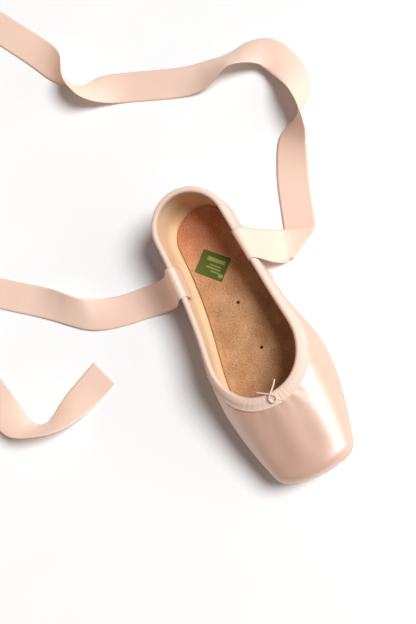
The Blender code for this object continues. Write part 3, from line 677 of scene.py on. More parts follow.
def halve(inside, low, high):
    """Where a test stops being true between two arrays, by halving the gap again and again."""
    for _ in range(HALVINGS):
        middle = (low + high) / 2
        true = inside(middle)
        low = np.where(true, middle, low)
        high = np.where(true, high, middle)
    return (low + high) / 2


def ray_points(turn, lift):
    """Points of the last's surface, seen from the spine at each turn and angle of lift."""
    spine, out_x, out_y = ring_frame(turn)
    pivot = section_sizes(spine)["widest"]
    reach = np.cos(lift)
    direction = np.stack([out_x * reach, out_y * reach, np.sin(lift)], axis=-1)
    start = np.stack([np.zeros_like(spine), spine, pivot], axis=-1)
    far = halve(lambda d: last_field(start + direction * d[..., None]) < 0.0,
                np.zeros_like(spine), np.full_like(spine, RAY_REACH))
    return start + direction * far[..., None]


def top_line(along):
    """Height of the collar's edge: the waist's height plus a rise to throat and to heel."""
    front = np.clip(1.0 - (LENGTH - VAMP_LENGTH - along) / INSTEP_RUN, 0.0, None)
    back = np.clip(1.0 - along / HEEL_RUN, 0.0, None)
    return (WAIST_HEIGHT + (INSTEP_HEIGHT - WAIST_HEIGHT) * front ** TOP_LINE_POWER
            + (HEEL_HEIGHT - WAIST_HEIGHT) * back ** HEEL_LINE_POWER)


def sole_half_width(along):
    """Half width of the outsole: the table's, times a rounding at each end."""
    place = along - SOLE_HEEL_MARGIN
    half = read_sole(place / SOLE_LENGTH)["half"] * SOLE_WIDTH / 2
    heel = np.clip((SOLE_HEEL_ROUND - place) / SOLE_HEEL_ROUND, 0.0, 1.0)
    toe = np.clip((place - SOLE_LENGTH + SOLE_TOE_ROUND) / SOLE_TOE_ROUND, 0.0, 1.0)
    return half * np.sqrt(1.0 - heel ** 2) * (1.0 - toe ** SOLE_TOE_POWER) ** (1 / SOLE_TOE_POWER)


def outline_reach(turn):
    """Distance from the spine to the outsole's outline in plan, at each turn."""
    spine, out_x, out_y = ring_frame(turn)
    return halve(lambda d: np.abs(out_x * d) < sole_half_width(spine + out_y * d),
                 np.zeros_like(spine), np.full_like(spine, RAY_REACH))


def under_height(x, along):
    """Height of the last's underside over a place in plan."""
    size = section_sizes(along)
    heel = np.clip((HEEL_ROUND - along) / HEEL_ROUND, 0.0, None)
    across = np.clip(np.sqrt((x / size["half"]) ** 2 + heel ** 2), 0.0, 1.0)
    down = (1.0 - across ** size["floor"]) ** (1 / UNDER_POWER)
    return size["widest"] - (size["widest"] - size["under"]) * down


def measured_profiles(turn):
    """Lift angles from the collar's edge down to the turned-in edge, and distances so far."""
    spine, out_x, out_y = ring_frame(turn)
    pivot = section_sizes(spine)["widest"]
    reach = outline_reach(turn) - LASTING_MARGIN
    low = np.arctan2(under_height(out_x * reach, spine + out_y * reach) - pivot, reach)

    def under_top(lift):
        """True while the wall at that lift lies under the collar's edge."""
        point = ray_points(turn, lift)
        return point[..., 2] < top_line(point[..., 1])

    high = halve(under_top, np.full_like(spine, LOWEST_LIFT), np.full_like(spine, HIGHEST_LIFT))
    share = np.linspace(0.0, 1.0, RAY_STEPS)
    lift = high[:, None] + (low - high)[:, None] * share
    points = ray_points(np.repeat(turn[:, None], RAY_STEPS, axis=1), lift)
    steps = np.linalg.norm(np.diff(points, axis=1), axis=2)
    distance = np.concatenate([np.zeros((len(turn), 1)), np.cumsum(steps, axis=1)], axis=1)
    return {"lift": lift, "distance": distance, "points": points}


def gathered_depths(profiles, rows):
    """Depths of rows down the wall: even, and closer where the wall bends."""
    chord = unit(np.diff(profiles["points"], axis=1))
    cosine = np.clip((chord[:, 1:] * chord[:, :-1]).sum(axis=2), -1.0, 1.0)
    bend = np.pad(np.cumsum(np.arccos(cosine), axis=1), ((0, 0), (1, 1)), mode="edge")
    bend[:, 0] = 0.0
    measure = profiles["distance"] + BEND_REACH * bend
    share = np.linspace(0.0, 1.0, rows)
    return np.stack([
        np.interp(share * line[-1], line, distance)
        for line, distance in zip(measure, profiles["distance"])])


def wall_grid(turn, depth, profiles):
    """Points at each turn and each depth below the collar's edge, and their normals."""
    wanted = np.stack([
        np.interp(depths, distance, lift) for depths, distance, lift
        in zip(depth, profiles["distance"], profiles["lift"])])
    points = ray_points(np.repeat(turn[:, None], depth.shape[1], axis=1), wanted)
    return points, last_normals(points)


def wall_thickness(along):
    """Thick round the box, thin in the quarters, with a smooth change between."""
    return QUARTER_WALL + (BOX_WALL - QUARTER_WALL) * smooth_step(
        (along - LENGTH + BOX_REACH) / (BOX_REACH * BOX_BLEND))


def round_measure(line):
    """Distance along a closed line of points, one more value than points."""
    return distances_along(np.concatenate([line, line[:1]]))


def ring_uv(line, across):
    """UV of a ring: distance round the shoe, and the distance across given for each point."""
    around = round_measure(line)
    across = np.concatenate([across, across[:1]])
    return np.stack([np.broadcast_to(around[:, None], across.shape), across], axis=-1)


# %% [markdown]
# Drawstring
#
# A thin cotton cord runs in the collar's casing, comes out at the throat and is tied there.
# A curve with a round bevel makes it, on a smooth line through listed points.

# %% Drawstring at the throat
CORD_DIAMETER = 1.2 * MM
BINDING_THICKNESS = 0.9 * MM
CORD_ROUTE = (                  # x, along and up from the throat's edge, in millimetres
    (8.4, -6.0, -0.2), (6.0, -4.3, 0.3), (3.4, -2.4, 0.6), (1.0, -0.7, 0.6), (-1.2, 0.9, 0.4),
    (-2.5, 2.6, 0.1), (-2.0, 4.8, -0.5), (0.0, 5.8, -0.8), (2.0, 4.8, -0.2), (2.5, 2.6, 0.9),
    (1.2, 0.9, 2.0), (-1.0, -1.0, 2.3), (-3.2, -3.2, 1.7), (-5.4, -5.6, 0.8),
    (-7.2, -8.4, 0.1),
)
CORD_SECTIONS = 90
ROUTE_BEND = 0.3                # millimetres given to a degree of turn or twist
ROUTE_STEPS = 12                # points worked out between two rows of a route


def smooth_route(rows, count):
    """Catmull-Rom curve through a route's rows, closer together where it bends or twists."""
    data = np.array(rows, dtype=float)
    padded = np.concatenate([2 * data[:1] - data[1:2], data, 2 * data[-1:] - data[-2:-1]])
    share = np.linspace(0.0, 1.0, ROUTE_STEPS, endpoint=False)[:, None]
    pieces = []
    for p0, p1, p2, p3 in zip(padded, padded[1:], padded[2:], padded[3:]):
        pieces.append(
            p1 + (p2 - p0) / 2 * share
            + (p0 - 2.5 * p1 + 2 * p2 - p3 / 2) * share ** 2
            + (1.5 * (p1 - p2) + (p3 - p0) / 2) * share ** 3)
    fine = np.concatenate(pieces + [data[-1:]])
    steps = np.diff(fine[:, :3], axis=0)
    length = np.linalg.norm(steps, axis=1)
    heading = unit(steps)
    turned = np.degrees(np.arccos(np.clip((heading[1:] * heading[:-1]).sum(axis=1), -1.0, 1.0)))
    twisted = np.abs(np.diff(fine[:, 3:], axis=0)).sum(axis=1)
    effort = length + ROUTE_BEND * (twisted + np.concatenate([[0.0], turned]))
    measure = running_total(effort)
    wanted = np.linspace(0.0, measure[-1], count)
    return np.stack([np.interp(wanted, measure, column) for column in fine.T], axis=1)


def make_drawstring():
    """Bevelled curve through the route, placed on the casing at the throat."""
    turn = np.array([0.5])
    edge = wall_grid(turn, np.zeros((1, 1)), measured_profiles(turn))[0][0, 0]
    base = np.array([0.0, edge[1] - MIDDLE,
                     edge[2] + 2 * FIT + BINDING_THICKNESS + CORD_DIAMETER / 2])
    points = base + smooth_route(CORD_ROUTE, CORD_SECTIONS) * MM
    curve = bpy.data.curves.new("throat_drawstring", "CURVE")
    curve.dimensions = "3D"
    curve.bevel_depth = CORD_DIAMETER / 2
    curve.bevel_resolution = 4
    curve.use_fill_caps = True
    spline = curve.splines.new("POLY")
    spline.points.add(len(points) - 1)
    places = np.concatenate([points, np.ones((len(points), 1))], axis=1)
    spline.points.foreach_set("co", places.ravel())
    curve.materials.append(CORD)
    item = place_object("throat_drawstring", curve)
    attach(item, "root")
    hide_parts("drawstring")
    length = float(distances_along(points)[-1])
    return length


print("drawstring", round(make_drawstring() / MM, 1), "mm long")

# %% [markdown]
# Ribbons
#
# Two satin ribbons are sewn inside the collar and lie loose on the floor in soft curves,
# folds and half twists. Each follows a listed route: a point, the direction of the
# ribbon's width in plan and its tilt. At a fold the cross lines slant, so that the width
# stays true.

# %% Ribbon routes
RIBBON_WIDTH = 25 * MM
RIBBON_THICKNESS = 0.35 * MM
FLOOR_CLEARANCE = 0.1 * MM
RIBBON_RIGHT = (                # x, y and z in millimetres, heading and tilt in degrees
    (-26.0, -54.7, 25.0, 273, 5), (-26.0, -54.7, 33.0, 273, 5), (-26.1, -54.7, 39.0, 273, 5),
    (-27.6, -54.7, 41.1, 273, 5), (-30.0, -54.7, 41.3, 273, 5), (-32.2, -54.3, 39.8, 271, 5),
    (-34.5, -53.5, 35.0, 268, 4), (-37.5, -52.2, 26.0, 263, 3), (-41.5, -50.5, 15.5, 256, 2),
    (-47.0, -48.2, 8.0, 246, 0), (-50.7, -46.8, 5.7, 232, 0), (-54.5, -45.4, 4.6, 219, 0),
    (-58.2, -44.0, 4.0, 208, 0), (-61.5, -42.6, 3.65, 204, 0), (-62.1, -41.7, 3.23, 204, 0),
    (-62.4, -41.4, 2.2, 204, 0), (-62.4, -41.8, 1.17, 204, 0), (-62.2, -42.8, 0.75, 204, 0),
    (-63.3, -46.5, 0.5, 201, 0), (-64.6, -50.3, 0.5, 190, 0), (-65.8, -54.1, 0.5, 176, 0),
    (-67.1, -57.9, 0.5, 163, 0), (-72.0, -72.2, 0.5, 161, 0), (-78.3, -89.7, 0.5, 160, 0),
    (-84.5, -103.2, 1.6, 157, 6), (-91.5, -115.7, 4.6, 150, 20), (-100.5, -124.7, 9.4, 142, 48),
    (-108.3, -132.7, 12.6, 138, 80), (-113.0, -141.2, 12.4, 148, 106),
    (-116.0, -151.2, 10.2, 168, 128), (-116.5, -161.7, 7.6, 186, 146),
    (-114.5, -172.2, 5.8, 203, 158), (-110.8, -182.7, 4.6, 219, 165),
    (-104.3, -191.7, 4.6, 238, 160), (-94.5, -196.3, 6.8, 254, 148),
    (-84.5, -197.9, 9.0, 265, 137), (-75.0, -199.3, 9.4, 270, 135),
    (-63.5, -200.5, 6.6, 270, 150), (-50.0, -202.9, 2.8, 260, 169),
    (-36.0, -208.1, 0.8, 250, 179), (-20.0, -216.3, 0.5, 246, 180), (5.0, -229.7, 0.6, 245, 180),
    (18.0, -236.2, 2.4, 246, 172), (28.0, -241.2, 6.5, 240, 152), (37.0, -247.2, 11.4, 228, 118),
    (43.0, -255.7, 12.8, 212, 88), (46.5, -266.2, 10.8, 203, 56), (50.0, -277.7, 6.4, 203, 28),
    (54.5, -290.2, 2.4, 206, 8), (61.0, -304.2, 0.6, 208, 0), (70.0, -321.2, 0.5, 208, 0),
    (80.0, -340.2, 0.5, 208, 0), (89.0, -357.2, 0.5, 208, 0),
)
RIBBON_LEFT = (
    (26.0, -54.7, 25.0, 267, 5), (26.0, -54.7, 33.0, 267, 5), (26.1, -54.7, 39.0, 267, 5),
    (27.6, -54.7, 41.1, 267, 5), (30.0, -54.7, 41.3, 267, 5), (32.2, -54.9, 39.8, 267, 5),
    (34.6, -55.5, 35.0, 267, 4), (38.0, -56.3, 26.0, 267, 3), (43.0, -57.7, 16.0, 267, 2),
    (50.0, -59.7, 8.5, 267, 0), (59.0, -62.2, 3.5, 266, 0), (70.0, -64.9, 0.8, 266, 0),
    (88.0, -68.7, 0.5, 265, 1), (105.0, -74.2, 2.6, 260, 9), (117.0, -80.7, 5.0, 250, 18),
    (128.0, -90.7, 5.0, 238, 18), (139.0, -101.7, 2.6, 230, 9), (152.0, -113.2, 0.6, 229, 0),
    (176.0, -133.2, 0.5, 230, 0), (192.0, -146.7, 1.4, 231, 4), (204.0, -153.7, 5.6, 244, 24),
    (216.0, -155.2, 10.4, 266, 52), (226.0, -150.2, 12.4, 302, 78),
    (231.0, -139.7, 12.7, 338, 86), (231.5, -125.7, 12.2, 358, 74), (229.0, -109.7, 9.8, 366, 48),
    (225.5, -93.7, 4.9, 371, 20), (221.0, -75.7, 0.9, 373, 1), (217.0, -58.7, 0.8, 374, 1),
    (213.5, -44.7, 3.6, 380, 14), (208.5, -31.7, 7.8, 392, 36), (201.0, -21.2, 11.0, 412, 58),
    (190.5, -15.2, 11.6, 436, 65), (178.5, -14.2, 9.9, 456, 50), (166.0, -17.2, 6.4, 466, 28),
    (152.0, -22.2, 2.2, 470, 8), (138.0, -27.2, 0.5, 470, 0), (124.0, -32.2, 0.5, 470, 0),
)
print("routes of", len(RIBBON_RIGHT), "and", len(RIBBON_LEFT), "points")

# %% Make the ribbons
RIBBON_SECTIONS = 560
RIBBON_COLUMNS = 15
SELVEDGE = 1.1 * MM             # firm edge of the weave
SELVEDGE_RISE = 0.08 * MM
NARROWEST_SLANT = 0.6           # cosine of the slant up to which the width is made up for


def ribbon_sections(rows):
    """Flat loops carried along the route: width along its heading, thickness off its face."""
    route = smooth_route(rows, RIBBON_SECTIONS)
    centre = route[:, :3] * MM
    heading, tilt = np.radians(route[:, 3]), np.radians(route[:, 4])
    across = np.stack([
        np.cos(heading) * np.cos(tilt), np.sin(heading) * np.cos(tilt), np.sin(tilt)], axis=1)
    face = np.cross(unit(np.gradient(centre, axis=0)), across)
    slant = np.clip(np.linalg.norm(face, axis=1, keepdims=True), NARROWEST_SLANT, 1.0)
    face = unit(face)
    side = across * RIBBON_WIDTH / 2 / slant
    place = np.linspace(-1.0, 1.0, RIBBON_COLUMNS)
    edge = smooth_step(1.0 - (1.0 - np.abs(place)) * RIBBON_WIDTH / 2 / SELVEDGE)
    half = RIBBON_THICKNESS / 2 + SELVEDGE_RISE * edge
    flat = centre[:, None] + side[:, None] * place[:, None]
    off = face[:, None] * half[:, None]
    section = facing(flat + off, flat - off)
    lowest = section[..., 2].min(axis=1, keepdims=True)
    section[..., 2] += np.clip(FLOOR_CLEARANCE - lowest, 0.0, None)
    along = distances_along(centre)
    across_uv = np.concatenate([place, place[::-1]]) * RIBBON_WIDTH / 2
    measure = np.stack(np.meshgrid(across_uv, along), axis=-1)
    return section, measure, along[-1]


def make_ribbon(name, rows, node):
    """One ribbon as a closed thin sheet of its real cut size."""
    section, measure, length = ribbon_sections(rows)
    section[..., 1] += MIDDLE
    item = add_loft(name, section[None], RIBBON, measure[None])
    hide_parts(node)
    return length


for ribbon_name, ribbon_rows in (("ribbon_right", RIBBON_RIGHT), ("ribbon_left", RIBBON_LEFT)):
    cut = make_ribbon(ribbon_name + "_satin", ribbon_rows, ribbon_name)
    print(ribbon_name, "is cut", round(cut / MM), "mm long")

# %% [markdown]
# Satin upper
#
# The satin is pulled over the last, turned in under the sole and pleated at the toe. The
# big pleats are listed one by one: each row of the table is one ridge with a trough beside it,
# from a point near the platform's edge to a point at the outsole. Side is measured from the
# middle line and back from the platform. Soft hollows on the vamp, small puckers under the
# collar and fine wrinkles at the side seams are added in the same way.

# %% Relief of the satin
# In millimetres: side and back at one end, side and back at the other, width and height.
PLEATS = (
    (-19.0, -1.0, -9.0, 31.5, 2.1, 0.95), (-24.5, 3.0, -14.5, 33.5, 1.9, 0.85),
    (-28.0, 9.0, -18.5, 36.5, 1.8, 0.80), (-30.5, 15.5, -21.5, 41.0, 1.7, 0.70),
    (-32.5, 22.5, -24.0, 46.0, 1.6, 0.60), (-34.5, 30.0, -26.0, 52.0, 1.5, 0.45),
    (-37.0, 39.0, -27.5, 60.0, 1.6, 0.30), (13.5, -1.5, 6.0, 30.5, 2.3, 1.05),
    (21.0, 1.0, 11.5, 32.0, 2.0, 0.95), (25.5, 6.0, 15.5, 34.0, 1.8, 0.90),
    (28.0, 11.5, 18.5, 36.8, 1.7, 0.80), (30.0, 17.0, 21.0, 40.0, 1.6, 0.72),
    (31.8, 22.5, 23.0, 44.5, 1.5, 0.62), (33.5, 29.0, 25.0, 50.0, 1.5, 0.50),
    (35.5, 37.0, 26.8, 57.0, 1.6, 0.35), (38.0, 46.0, 28.0, 66.0, 1.7, 0.25),
    (-3.0, 6.0, -2.0, 29.5, 2.6, 0.30),
)
HOLLOWS = (
    (15.0, 8.0, 12.0, 52.0, 7.5, -0.55), (3.0, 6.0, 3.0, 50.0, 7.0, 0.30),
    (-9.0, 10.0, -10.0, 50.0, 6.0, -0.30), (27.0, 12.0, 27.0, 60.0, 6.0, 0.25),
    (-21.0, 8.0, -27.0, 62.0, 6.5, 0.35),
)
PLEAT_WIDENING = 0.25           # a pleat is this much wider at its start, thinner at its end
PLEAT_LEAD, PLEAT_FADE = 0.25, 0.45  # shares of its line: starts before it, and fades in
PLEAT_TOP, PLEAT_SOFT = 1.15, 0.7  # of the widest height: none above, and full this far below
TROUGH_PLACE = 1.7              # in widths beside a pleat's ridge
TROUGH_WIDTH = 0.75             # shares of the ridge's width and height
TROUGH_DEPTH = 0.75
HOLLOW_LEAD, HOLLOW_FADE = 0.15, 0.4  # shares of its line, as a pleat's
HOLLOW_END, HOLLOW_END_FADE = 1.2, 0.45
HOLLOW_SOFT = 0.6               # share of the widest height over which it starts
CRESCENT_GAP = 5.5 * MM         # from the outsole's heel end to the soft ridge round it
CRESCENT_WIDTH = 1.8 * MM
CRESCENT_RISE = 0.45 * MM
CRESCENT_RUN = 8 * MM
CRESCENT_TOP, CRESCENT_SOFT = 14 * MM, 5 * MM
PUCKER_SPACING = 6.5 * MM
PUCKER_RISE = 0.10 * MM
PUCKER_FADE = 9 * MM
PUCKER_SWAY, PUCKER_SWAY_RUN = 2.2, 31 * MM  # radians of phase, so that no two are alike
PUCKER_FROM, PUCKER_RUN = 20 * MM, 60 * MM  # from the heel's back: none before, full after
SEAM_PLACE = 85 * MM
WRINKLES = ((4.3 * MM, 1.0), (7.1 * MM, 0.6))  # spacing and strength
WRINKLE_RISE = 0.07 * MM
WRINKLE_SLANT, WRINKLE_FOOT = 0.8, 15 * MM
WRINKLE_BEYOND, WRINKLE_REACH = 6 * MM, 18 * MM  # past the seam, toward the toe
WRINKLE_HEIGHT, WRINKLE_SPREAD = 14 * MM, 11 * MM


def along_line(points, row):
    """Share along a row's line, and the distance beside it, both in plan."""
    front = LENGTH - PLATFORM_DOME
    start = np.array([row[0] * MM, front - row[1] * MM])
    end = np.array([row[2] * MM, front - row[3] * MM])
    run = end - start
    length = np.linalg.norm(run)
    offset = points[..., :2] - start
    share = (offset @ run) / length ** 2
    beside = (offset[..., 0] * run[1] - offset[..., 1] * run[0]) / length
    return share, beside


def pleat_relief(points):
    """Ridges and troughs under the toe: bell curves across each line, faded at its ends."""
    size = section_sizes(points[..., 1])
    height = points[..., 2] / size["widest"]
    below = smooth_step((PLEAT_TOP - height) / PLEAT_SOFT)
    relief = np.zeros(points.shape[:-1])
    for row in PLEATS:
        share, beside = along_line(points, row)
        outward = math.copysign(1.0, row[0])
        width = row[4] * MM * (1.0 + PLEAT_WIDENING * (1.0 - 2.0 * np.clip(share, 0.0, 1.0)))
        fade = smooth_step((share + PLEAT_LEAD) / PLEAT_FADE)
        ridge = bump_line(beside, width)
        trough = bump_line(beside - outward * TROUGH_PLACE * width, TROUGH_WIDTH * width)
        relief += row[5] * MM * fade * (ridge - TROUGH_DEPTH * trough)
    return relief * below


def hollow_relief(points):
    """Broad soft bands on top of the box, laid from the platform to the throat."""
    size = section_sizes(points[..., 1])
    above = smooth_step((points[..., 2] / size["widest"] - 1.0) / HOLLOW_SOFT)
    relief = np.zeros(points.shape[:-1])
    for row in HOLLOWS:
        share, beside = along_line(points, row)
        fade = (smooth_step((share + HOLLOW_LEAD) / HOLLOW_FADE)
                * smooth_step((HOLLOW_END - share) / HOLLOW_END_FADE))
        relief += row[5] * MM * fade * bump_line(beside, row[4] * MM)
    return relief * above


def edge_relief(points, depth, around):
    """Puckers under the collar and a soft crescent behind the outsole's heel end."""
    along = points[..., 1]
    sway = PUCKER_SWAY * np.sin(around / PUCKER_SWAY_RUN)
    wave = np.sin(2 * math.pi * around / PUCKER_SPACING + sway)
    fade = np.exp(-np.clip(depth - BINDING_DEPTH, 0.0, None) / PUCKER_FADE)
    pucker = PUCKER_RISE * wave * fade * smooth_step((along - PUCKER_FROM) / PUCKER_RUN)
    round_end = np.hypot(points[..., 0], along - SOLE_HEEL_MARGIN - SOLE_HEEL_ROUND)
    crescent = bump_line(round_end - SOLE_HEEL_ROUND - CRESCENT_GAP, CRESCENT_WIDTH)
    behind = smooth_step((SOLE_HEEL_MARGIN + SOLE_HEEL_ROUND - along) / CRESCENT_RUN)
    under = smooth_step((CRESCENT_TOP - points[..., 2]) / CRESCENT_SOFT)
    return pucker + CRESCENT_RISE * crescent * behind * under


def seam_wrinkles(points):
    """Fine slanting wrinkles round the side seams, strongest low on the side."""
    along, height = points[..., 1], points[..., 2]
    beside = along - SEAM_PLACE
    slant = beside + WRINKLE_SLANT * (height - WRINKLE_FOOT)
    wave = sum(strength * np.sin(2 * math.pi * slant / spacing) for spacing, strength in WRINKLES)
    near = (bump_line(beside - WRINKLE_BEYOND, WRINKLE_REACH)
            * bump_line(height - WRINKLE_HEIGHT, WRINKLE_SPREAD))
    return WRINKLE_RISE * wave * near


print(len(PLEATS), "pleats and", len(HOLLOWS), "soft bands")

# %% Make the satin and its lining
SATIN_ROUND = 840
SATIN_ROWS = 104
SATIN_BACK_ROWS = 8
SATIN_SHARE = 0.45              # of the wall's thickness, from the outside
LINING_SHARE = 0.55             # the lining starts here, so that the two don't touch
LINING_ROUND = 420
LINING_ROWS = 60


def whole_wall(count, rows):
    """Depths, points and normals in rows down the wall, at even turns round the shoe."""
    turn = np.arange(count) / count
    profiles = measured_profiles(turn)
    depth = gathered_depths(profiles, rows)
    return depth, *wall_grid(turn, depth, profiles)


def make_satin():
    """Ring of outer rows with relief and a few rows back up inside the wall."""
    depth, points, normal = whole_wall(SATIN_ROUND, SATIN_ROWS)
    around = round_measure(points[:, 0])[:-1, None]
    relief = (pleat_relief(points) + hollow_relief(points) + seam_wrinkles(points)
              + edge_relief(points, depth, around))
    outer = points + normal * relief[..., None]
    picked = np.linspace(SATIN_ROWS - 1, 0, SATIN_BACK_ROWS).round().astype(int)
    wall = wall_thickness(points[:, picked, 1])[..., None]
    inner = outer[:, picked] - normal[:, picked] * wall * SATIN_SHARE
    section = np.concatenate([outer, inner], axis=1)
    across = np.concatenate([depth, depth[:, picked]], axis=1)
    item = add_ring("satin_upper", section, SATIN, ring_uv(points[:, 0], across))
    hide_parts("upper")


def make_lining():
    """Ring of canvas from just inside the satin to the inside of the wall."""
    depth, points, normal = whole_wall(LINING_ROUND, LINING_ROWS)
    wall = wall_thickness(points[..., 1])[..., None]
    inner = points - normal * wall
    outer = points - normal * wall * LINING_SHARE
    picked = np.linspace(0, LINING_ROWS - 1, SATIN_BACK_ROWS).round().astype(int)
    section = np.concatenate([inner[:, ::-1], outer[:, picked]], axis=1)
    across = np.concatenate([depth[:, ::-1], depth[:, picked]], axis=1)
    add_ring("canvas_lining", section, LINING, ring_uv(points[:, 0], across))


make_satin()
make_lining()

# %% [markdown]
# Collar casing
#
# A cotton tape is folded over the collar's edge, and the drawstring runs inside it. It is
# plump over the cord, flat below, and its folded lower edge stands up as a thin line. Near
# the throat the cord gathers it into small folds, and the two ends cross in a slanting
# line.

# %% Make the casing
CASING_ROUND = 900
CASING_OUT_STEPS = 16
CASING_TOP_STEPS = 9
CASING_IN_STEPS = 9
CHANNEL_DEPTH = 2.4 * MM        # the cord lies this far below the edge
CHANNEL_RISE = 0.55 * MM
FOLD_LINE = 7.5 * MM
FOLD_RISE = 0.28 * MM
GATHER_SPACING = 2.9 * MM
GATHER_REACH = 34 * MM
GATHER_RISE = 0.15 * MM
GATHER_EVERYWHERE = 0.12        # share of the gathers left far from the throat
GATHER_SLANT = 0.12
GATHER_SWAY, GATHER_SWAY_RUN = 1.3 * MM, 5.3 * MM
GATHER_EVEN, GATHER_UNEVEN, GATHER_UNEVEN_RUN = 0.6, 0.4, 3.7 * MM
GATHER_DEPTH, GATHER_SPREAD = 3.6 * MM, 3.4 * MM
CHANNEL_WIDTH = 2.0 * MM
FOLD_WIDTH = 0.45 * MM
CROSS_SLANT = 0.9
CROSS_DEPTH = 4 * MM
CROSS_WIDTH = 0.6 * MM
CROSS_RISE = 0.55 * MM
CROSS_REACH = 6 * MM
CROSS_LIP, CROSS_LIP_PLACE, CROSS_LIP_WIDTH = 0.6, 1.5 * MM, 0.9 * MM
CASING_BASE = FIT + BINDING_THICKNESS * 0.75  # thinner than the tape where it is pulled flat
CROWN_FLATNESS = 0.8


def casing_rise(depth, from_throat):
    """Height over the wall: flat tape, plump cord channel, fold line, gathers and crossing."""
    channel = CHANNEL_RISE * bump_line(depth - CHANNEL_DEPTH, CHANNEL_WIDTH)
    fold = FOLD_RISE * bump_line(depth - FOLD_LINE, FOLD_WIDTH)
    near = GATHER_EVERYWHERE + bump_line(from_throat, GATHER_REACH)
    sway = GATHER_SWAY * np.sin(from_throat / GATHER_SWAY_RUN)
    wave = np.sin(2 * math.pi * (from_throat + sway + GATHER_SLANT * depth) / GATHER_SPACING)
    strength = GATHER_EVEN + GATHER_UNEVEN * np.sin(from_throat / GATHER_UNEVEN_RUN + 1.0)
    full = bump_line(depth - GATHER_DEPTH, GATHER_SPREAD)
    cross = from_throat - CROSS_SLANT * (depth - CROSS_DEPTH)
    lip = CROSS_LIP * bump_line(cross - CROSS_LIP_PLACE, CROSS_LIP_WIDTH)
    groove = bump_line(cross, CROSS_WIDTH) - lip
    return (CASING_BASE + channel + fold + GATHER_RISE * near * wave * strength * full
            - CROSS_RISE * groove * bump_line(from_throat, CROSS_REACH))


def make_casing():
    """U section round the collar: outside, over the edge, inside and back in fewer steps."""
    turn = np.arange(CASING_ROUND) / CASING_ROUND
    profiles = measured_profiles(turn)
    out_depth = np.linspace(BINDING_DEPTH, 0.0, CASING_OUT_STEPS)
    in_depth = np.linspace(0.0, BINDING_INSIDE_DEPTH, CASING_IN_STEPS)
    depth = np.repeat(np.concatenate([out_depth, in_depth])[None], CASING_ROUND, axis=0)
    points, normal = wall_grid(turn, depth, profiles)
    wall = wall_thickness(points[..., 1])[..., None]
    outside, inside = np.split(points, [CASING_OUT_STEPS], axis=1)
    out_normal, in_normal = np.split(normal, [CASING_OUT_STEPS], axis=1)
    out_wall, in_wall = np.split(wall, [CASING_OUT_STEPS], axis=1)
    around = round_measure(outside[:, -1])
    from_throat = (around[:-1] - around[CASING_ROUND // 2])[:, None]
    out_rise = casing_rise(out_depth[None], from_throat)[..., None]
    in_rise = casing_rise(in_depth[None], from_throat)[..., None]
    edge, edge_normal = outside[:, -1:], out_normal[:, -1:]
    beyond = unit(edge - outside[:, -2:-1]) * CROWN_FLATNESS
    middle = edge - edge_normal * out_wall[:, -1:] / 2
    angle = np.linspace(0.0, math.pi, CASING_TOP_STEPS + 2)[1:-1][None, :, None]
    radius = out_wall[:, -1:] / 2 + out_rise[:, -1:]
    crown = middle + (edge_normal * np.cos(angle) + beyond * np.sin(angle)) * radius
    back_in = inside - in_normal * (in_wall + FIT / 2)
    back_out = outside + out_normal * FIT / 2
    section = np.concatenate([
        outside + out_normal * out_rise, crown, inside - in_normal * (in_wall + in_rise),
        back_in[:, ::-4], back_out[:, ::-5]], axis=1)
    steps = np.linalg.norm(np.diff(section, axis=1), axis=2).mean(axis=0)
    across = np.repeat(running_total(steps)[None], CASING_ROUND, axis=0)
    item = add_ring("collar_casing", section, CASING, ring_uv(outside[:, -1], across))
    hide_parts("collar_binding")


make_casing()

# %% [markdown]
# Tape, seams and stitches
#
# A satin tape covers the back seam, and a flat double seam joins vamp and quarter on each
# side. Each stitch is a small bead lying along its row. All the beads of a row are worked
# out as one array and joined in one mesh.

# %% Strips laid on the satin
TAPE_WIDTH = 11.5 * MM
TAPE_THICKNESS = 0.7 * MM
SEAM_WIDTH = 5.2 * MM
SEAM_THICKNESS = 0.5 * MM
STITCH_PITCH = 2.8 * MM
STITCH_LENGTH = 2.1 * MM
STITCH_WIDTH = 0.42 * MM
STRIP_ROWS = 90
TAPE_COLUMNS, SEAM_COLUMNS = 21, 15
STRIP_EDGE, STRIP_EDGE_POWER = 0.8, 8  # share of the thickness lost at the edge, and how fast
RIPPLE_RISE, RIPPLE_RUN = 0.05 * MM, 1.9 * MM


def heel_turns(width, steps):
    """Turns across the back of the heel that span a strip's width."""
    quarter_arc = HEEL_ROUND * math.pi / 2
    reach = width / 2 / quarter_arc * HEEL_STEPS / 4 / TURN_TOTAL
    return np.linspace(-reach, reach, steps) % 1.0


def seam_turns(places, side):
    """Turns of places along the straight run of one side."""
    share = (places - HEEL_FAN) / (TOE_FAN - HEEL_FAN)
    turn = (HEEL_STEPS / 2 + SIDE_STEPS * share) / TURN_TOTAL / 2
    return turn if side > 0 else 1.0 - turn


def strip_wall(turn, thickness, rows):
    """Depths, points and normals from under the casing to just short of the turned-in edge."""
    profiles = measured_profiles(turn)
    start = BINDING_DEPTH + FIT
    end = profiles["distance"][:, -1] - LASTING_MARGIN - FIT - thickness
    depth = start + (end - start)[:, None] * np.linspace(0.0, 1.0, rows)
    return depth, *wall_grid(turn, depth, profiles)


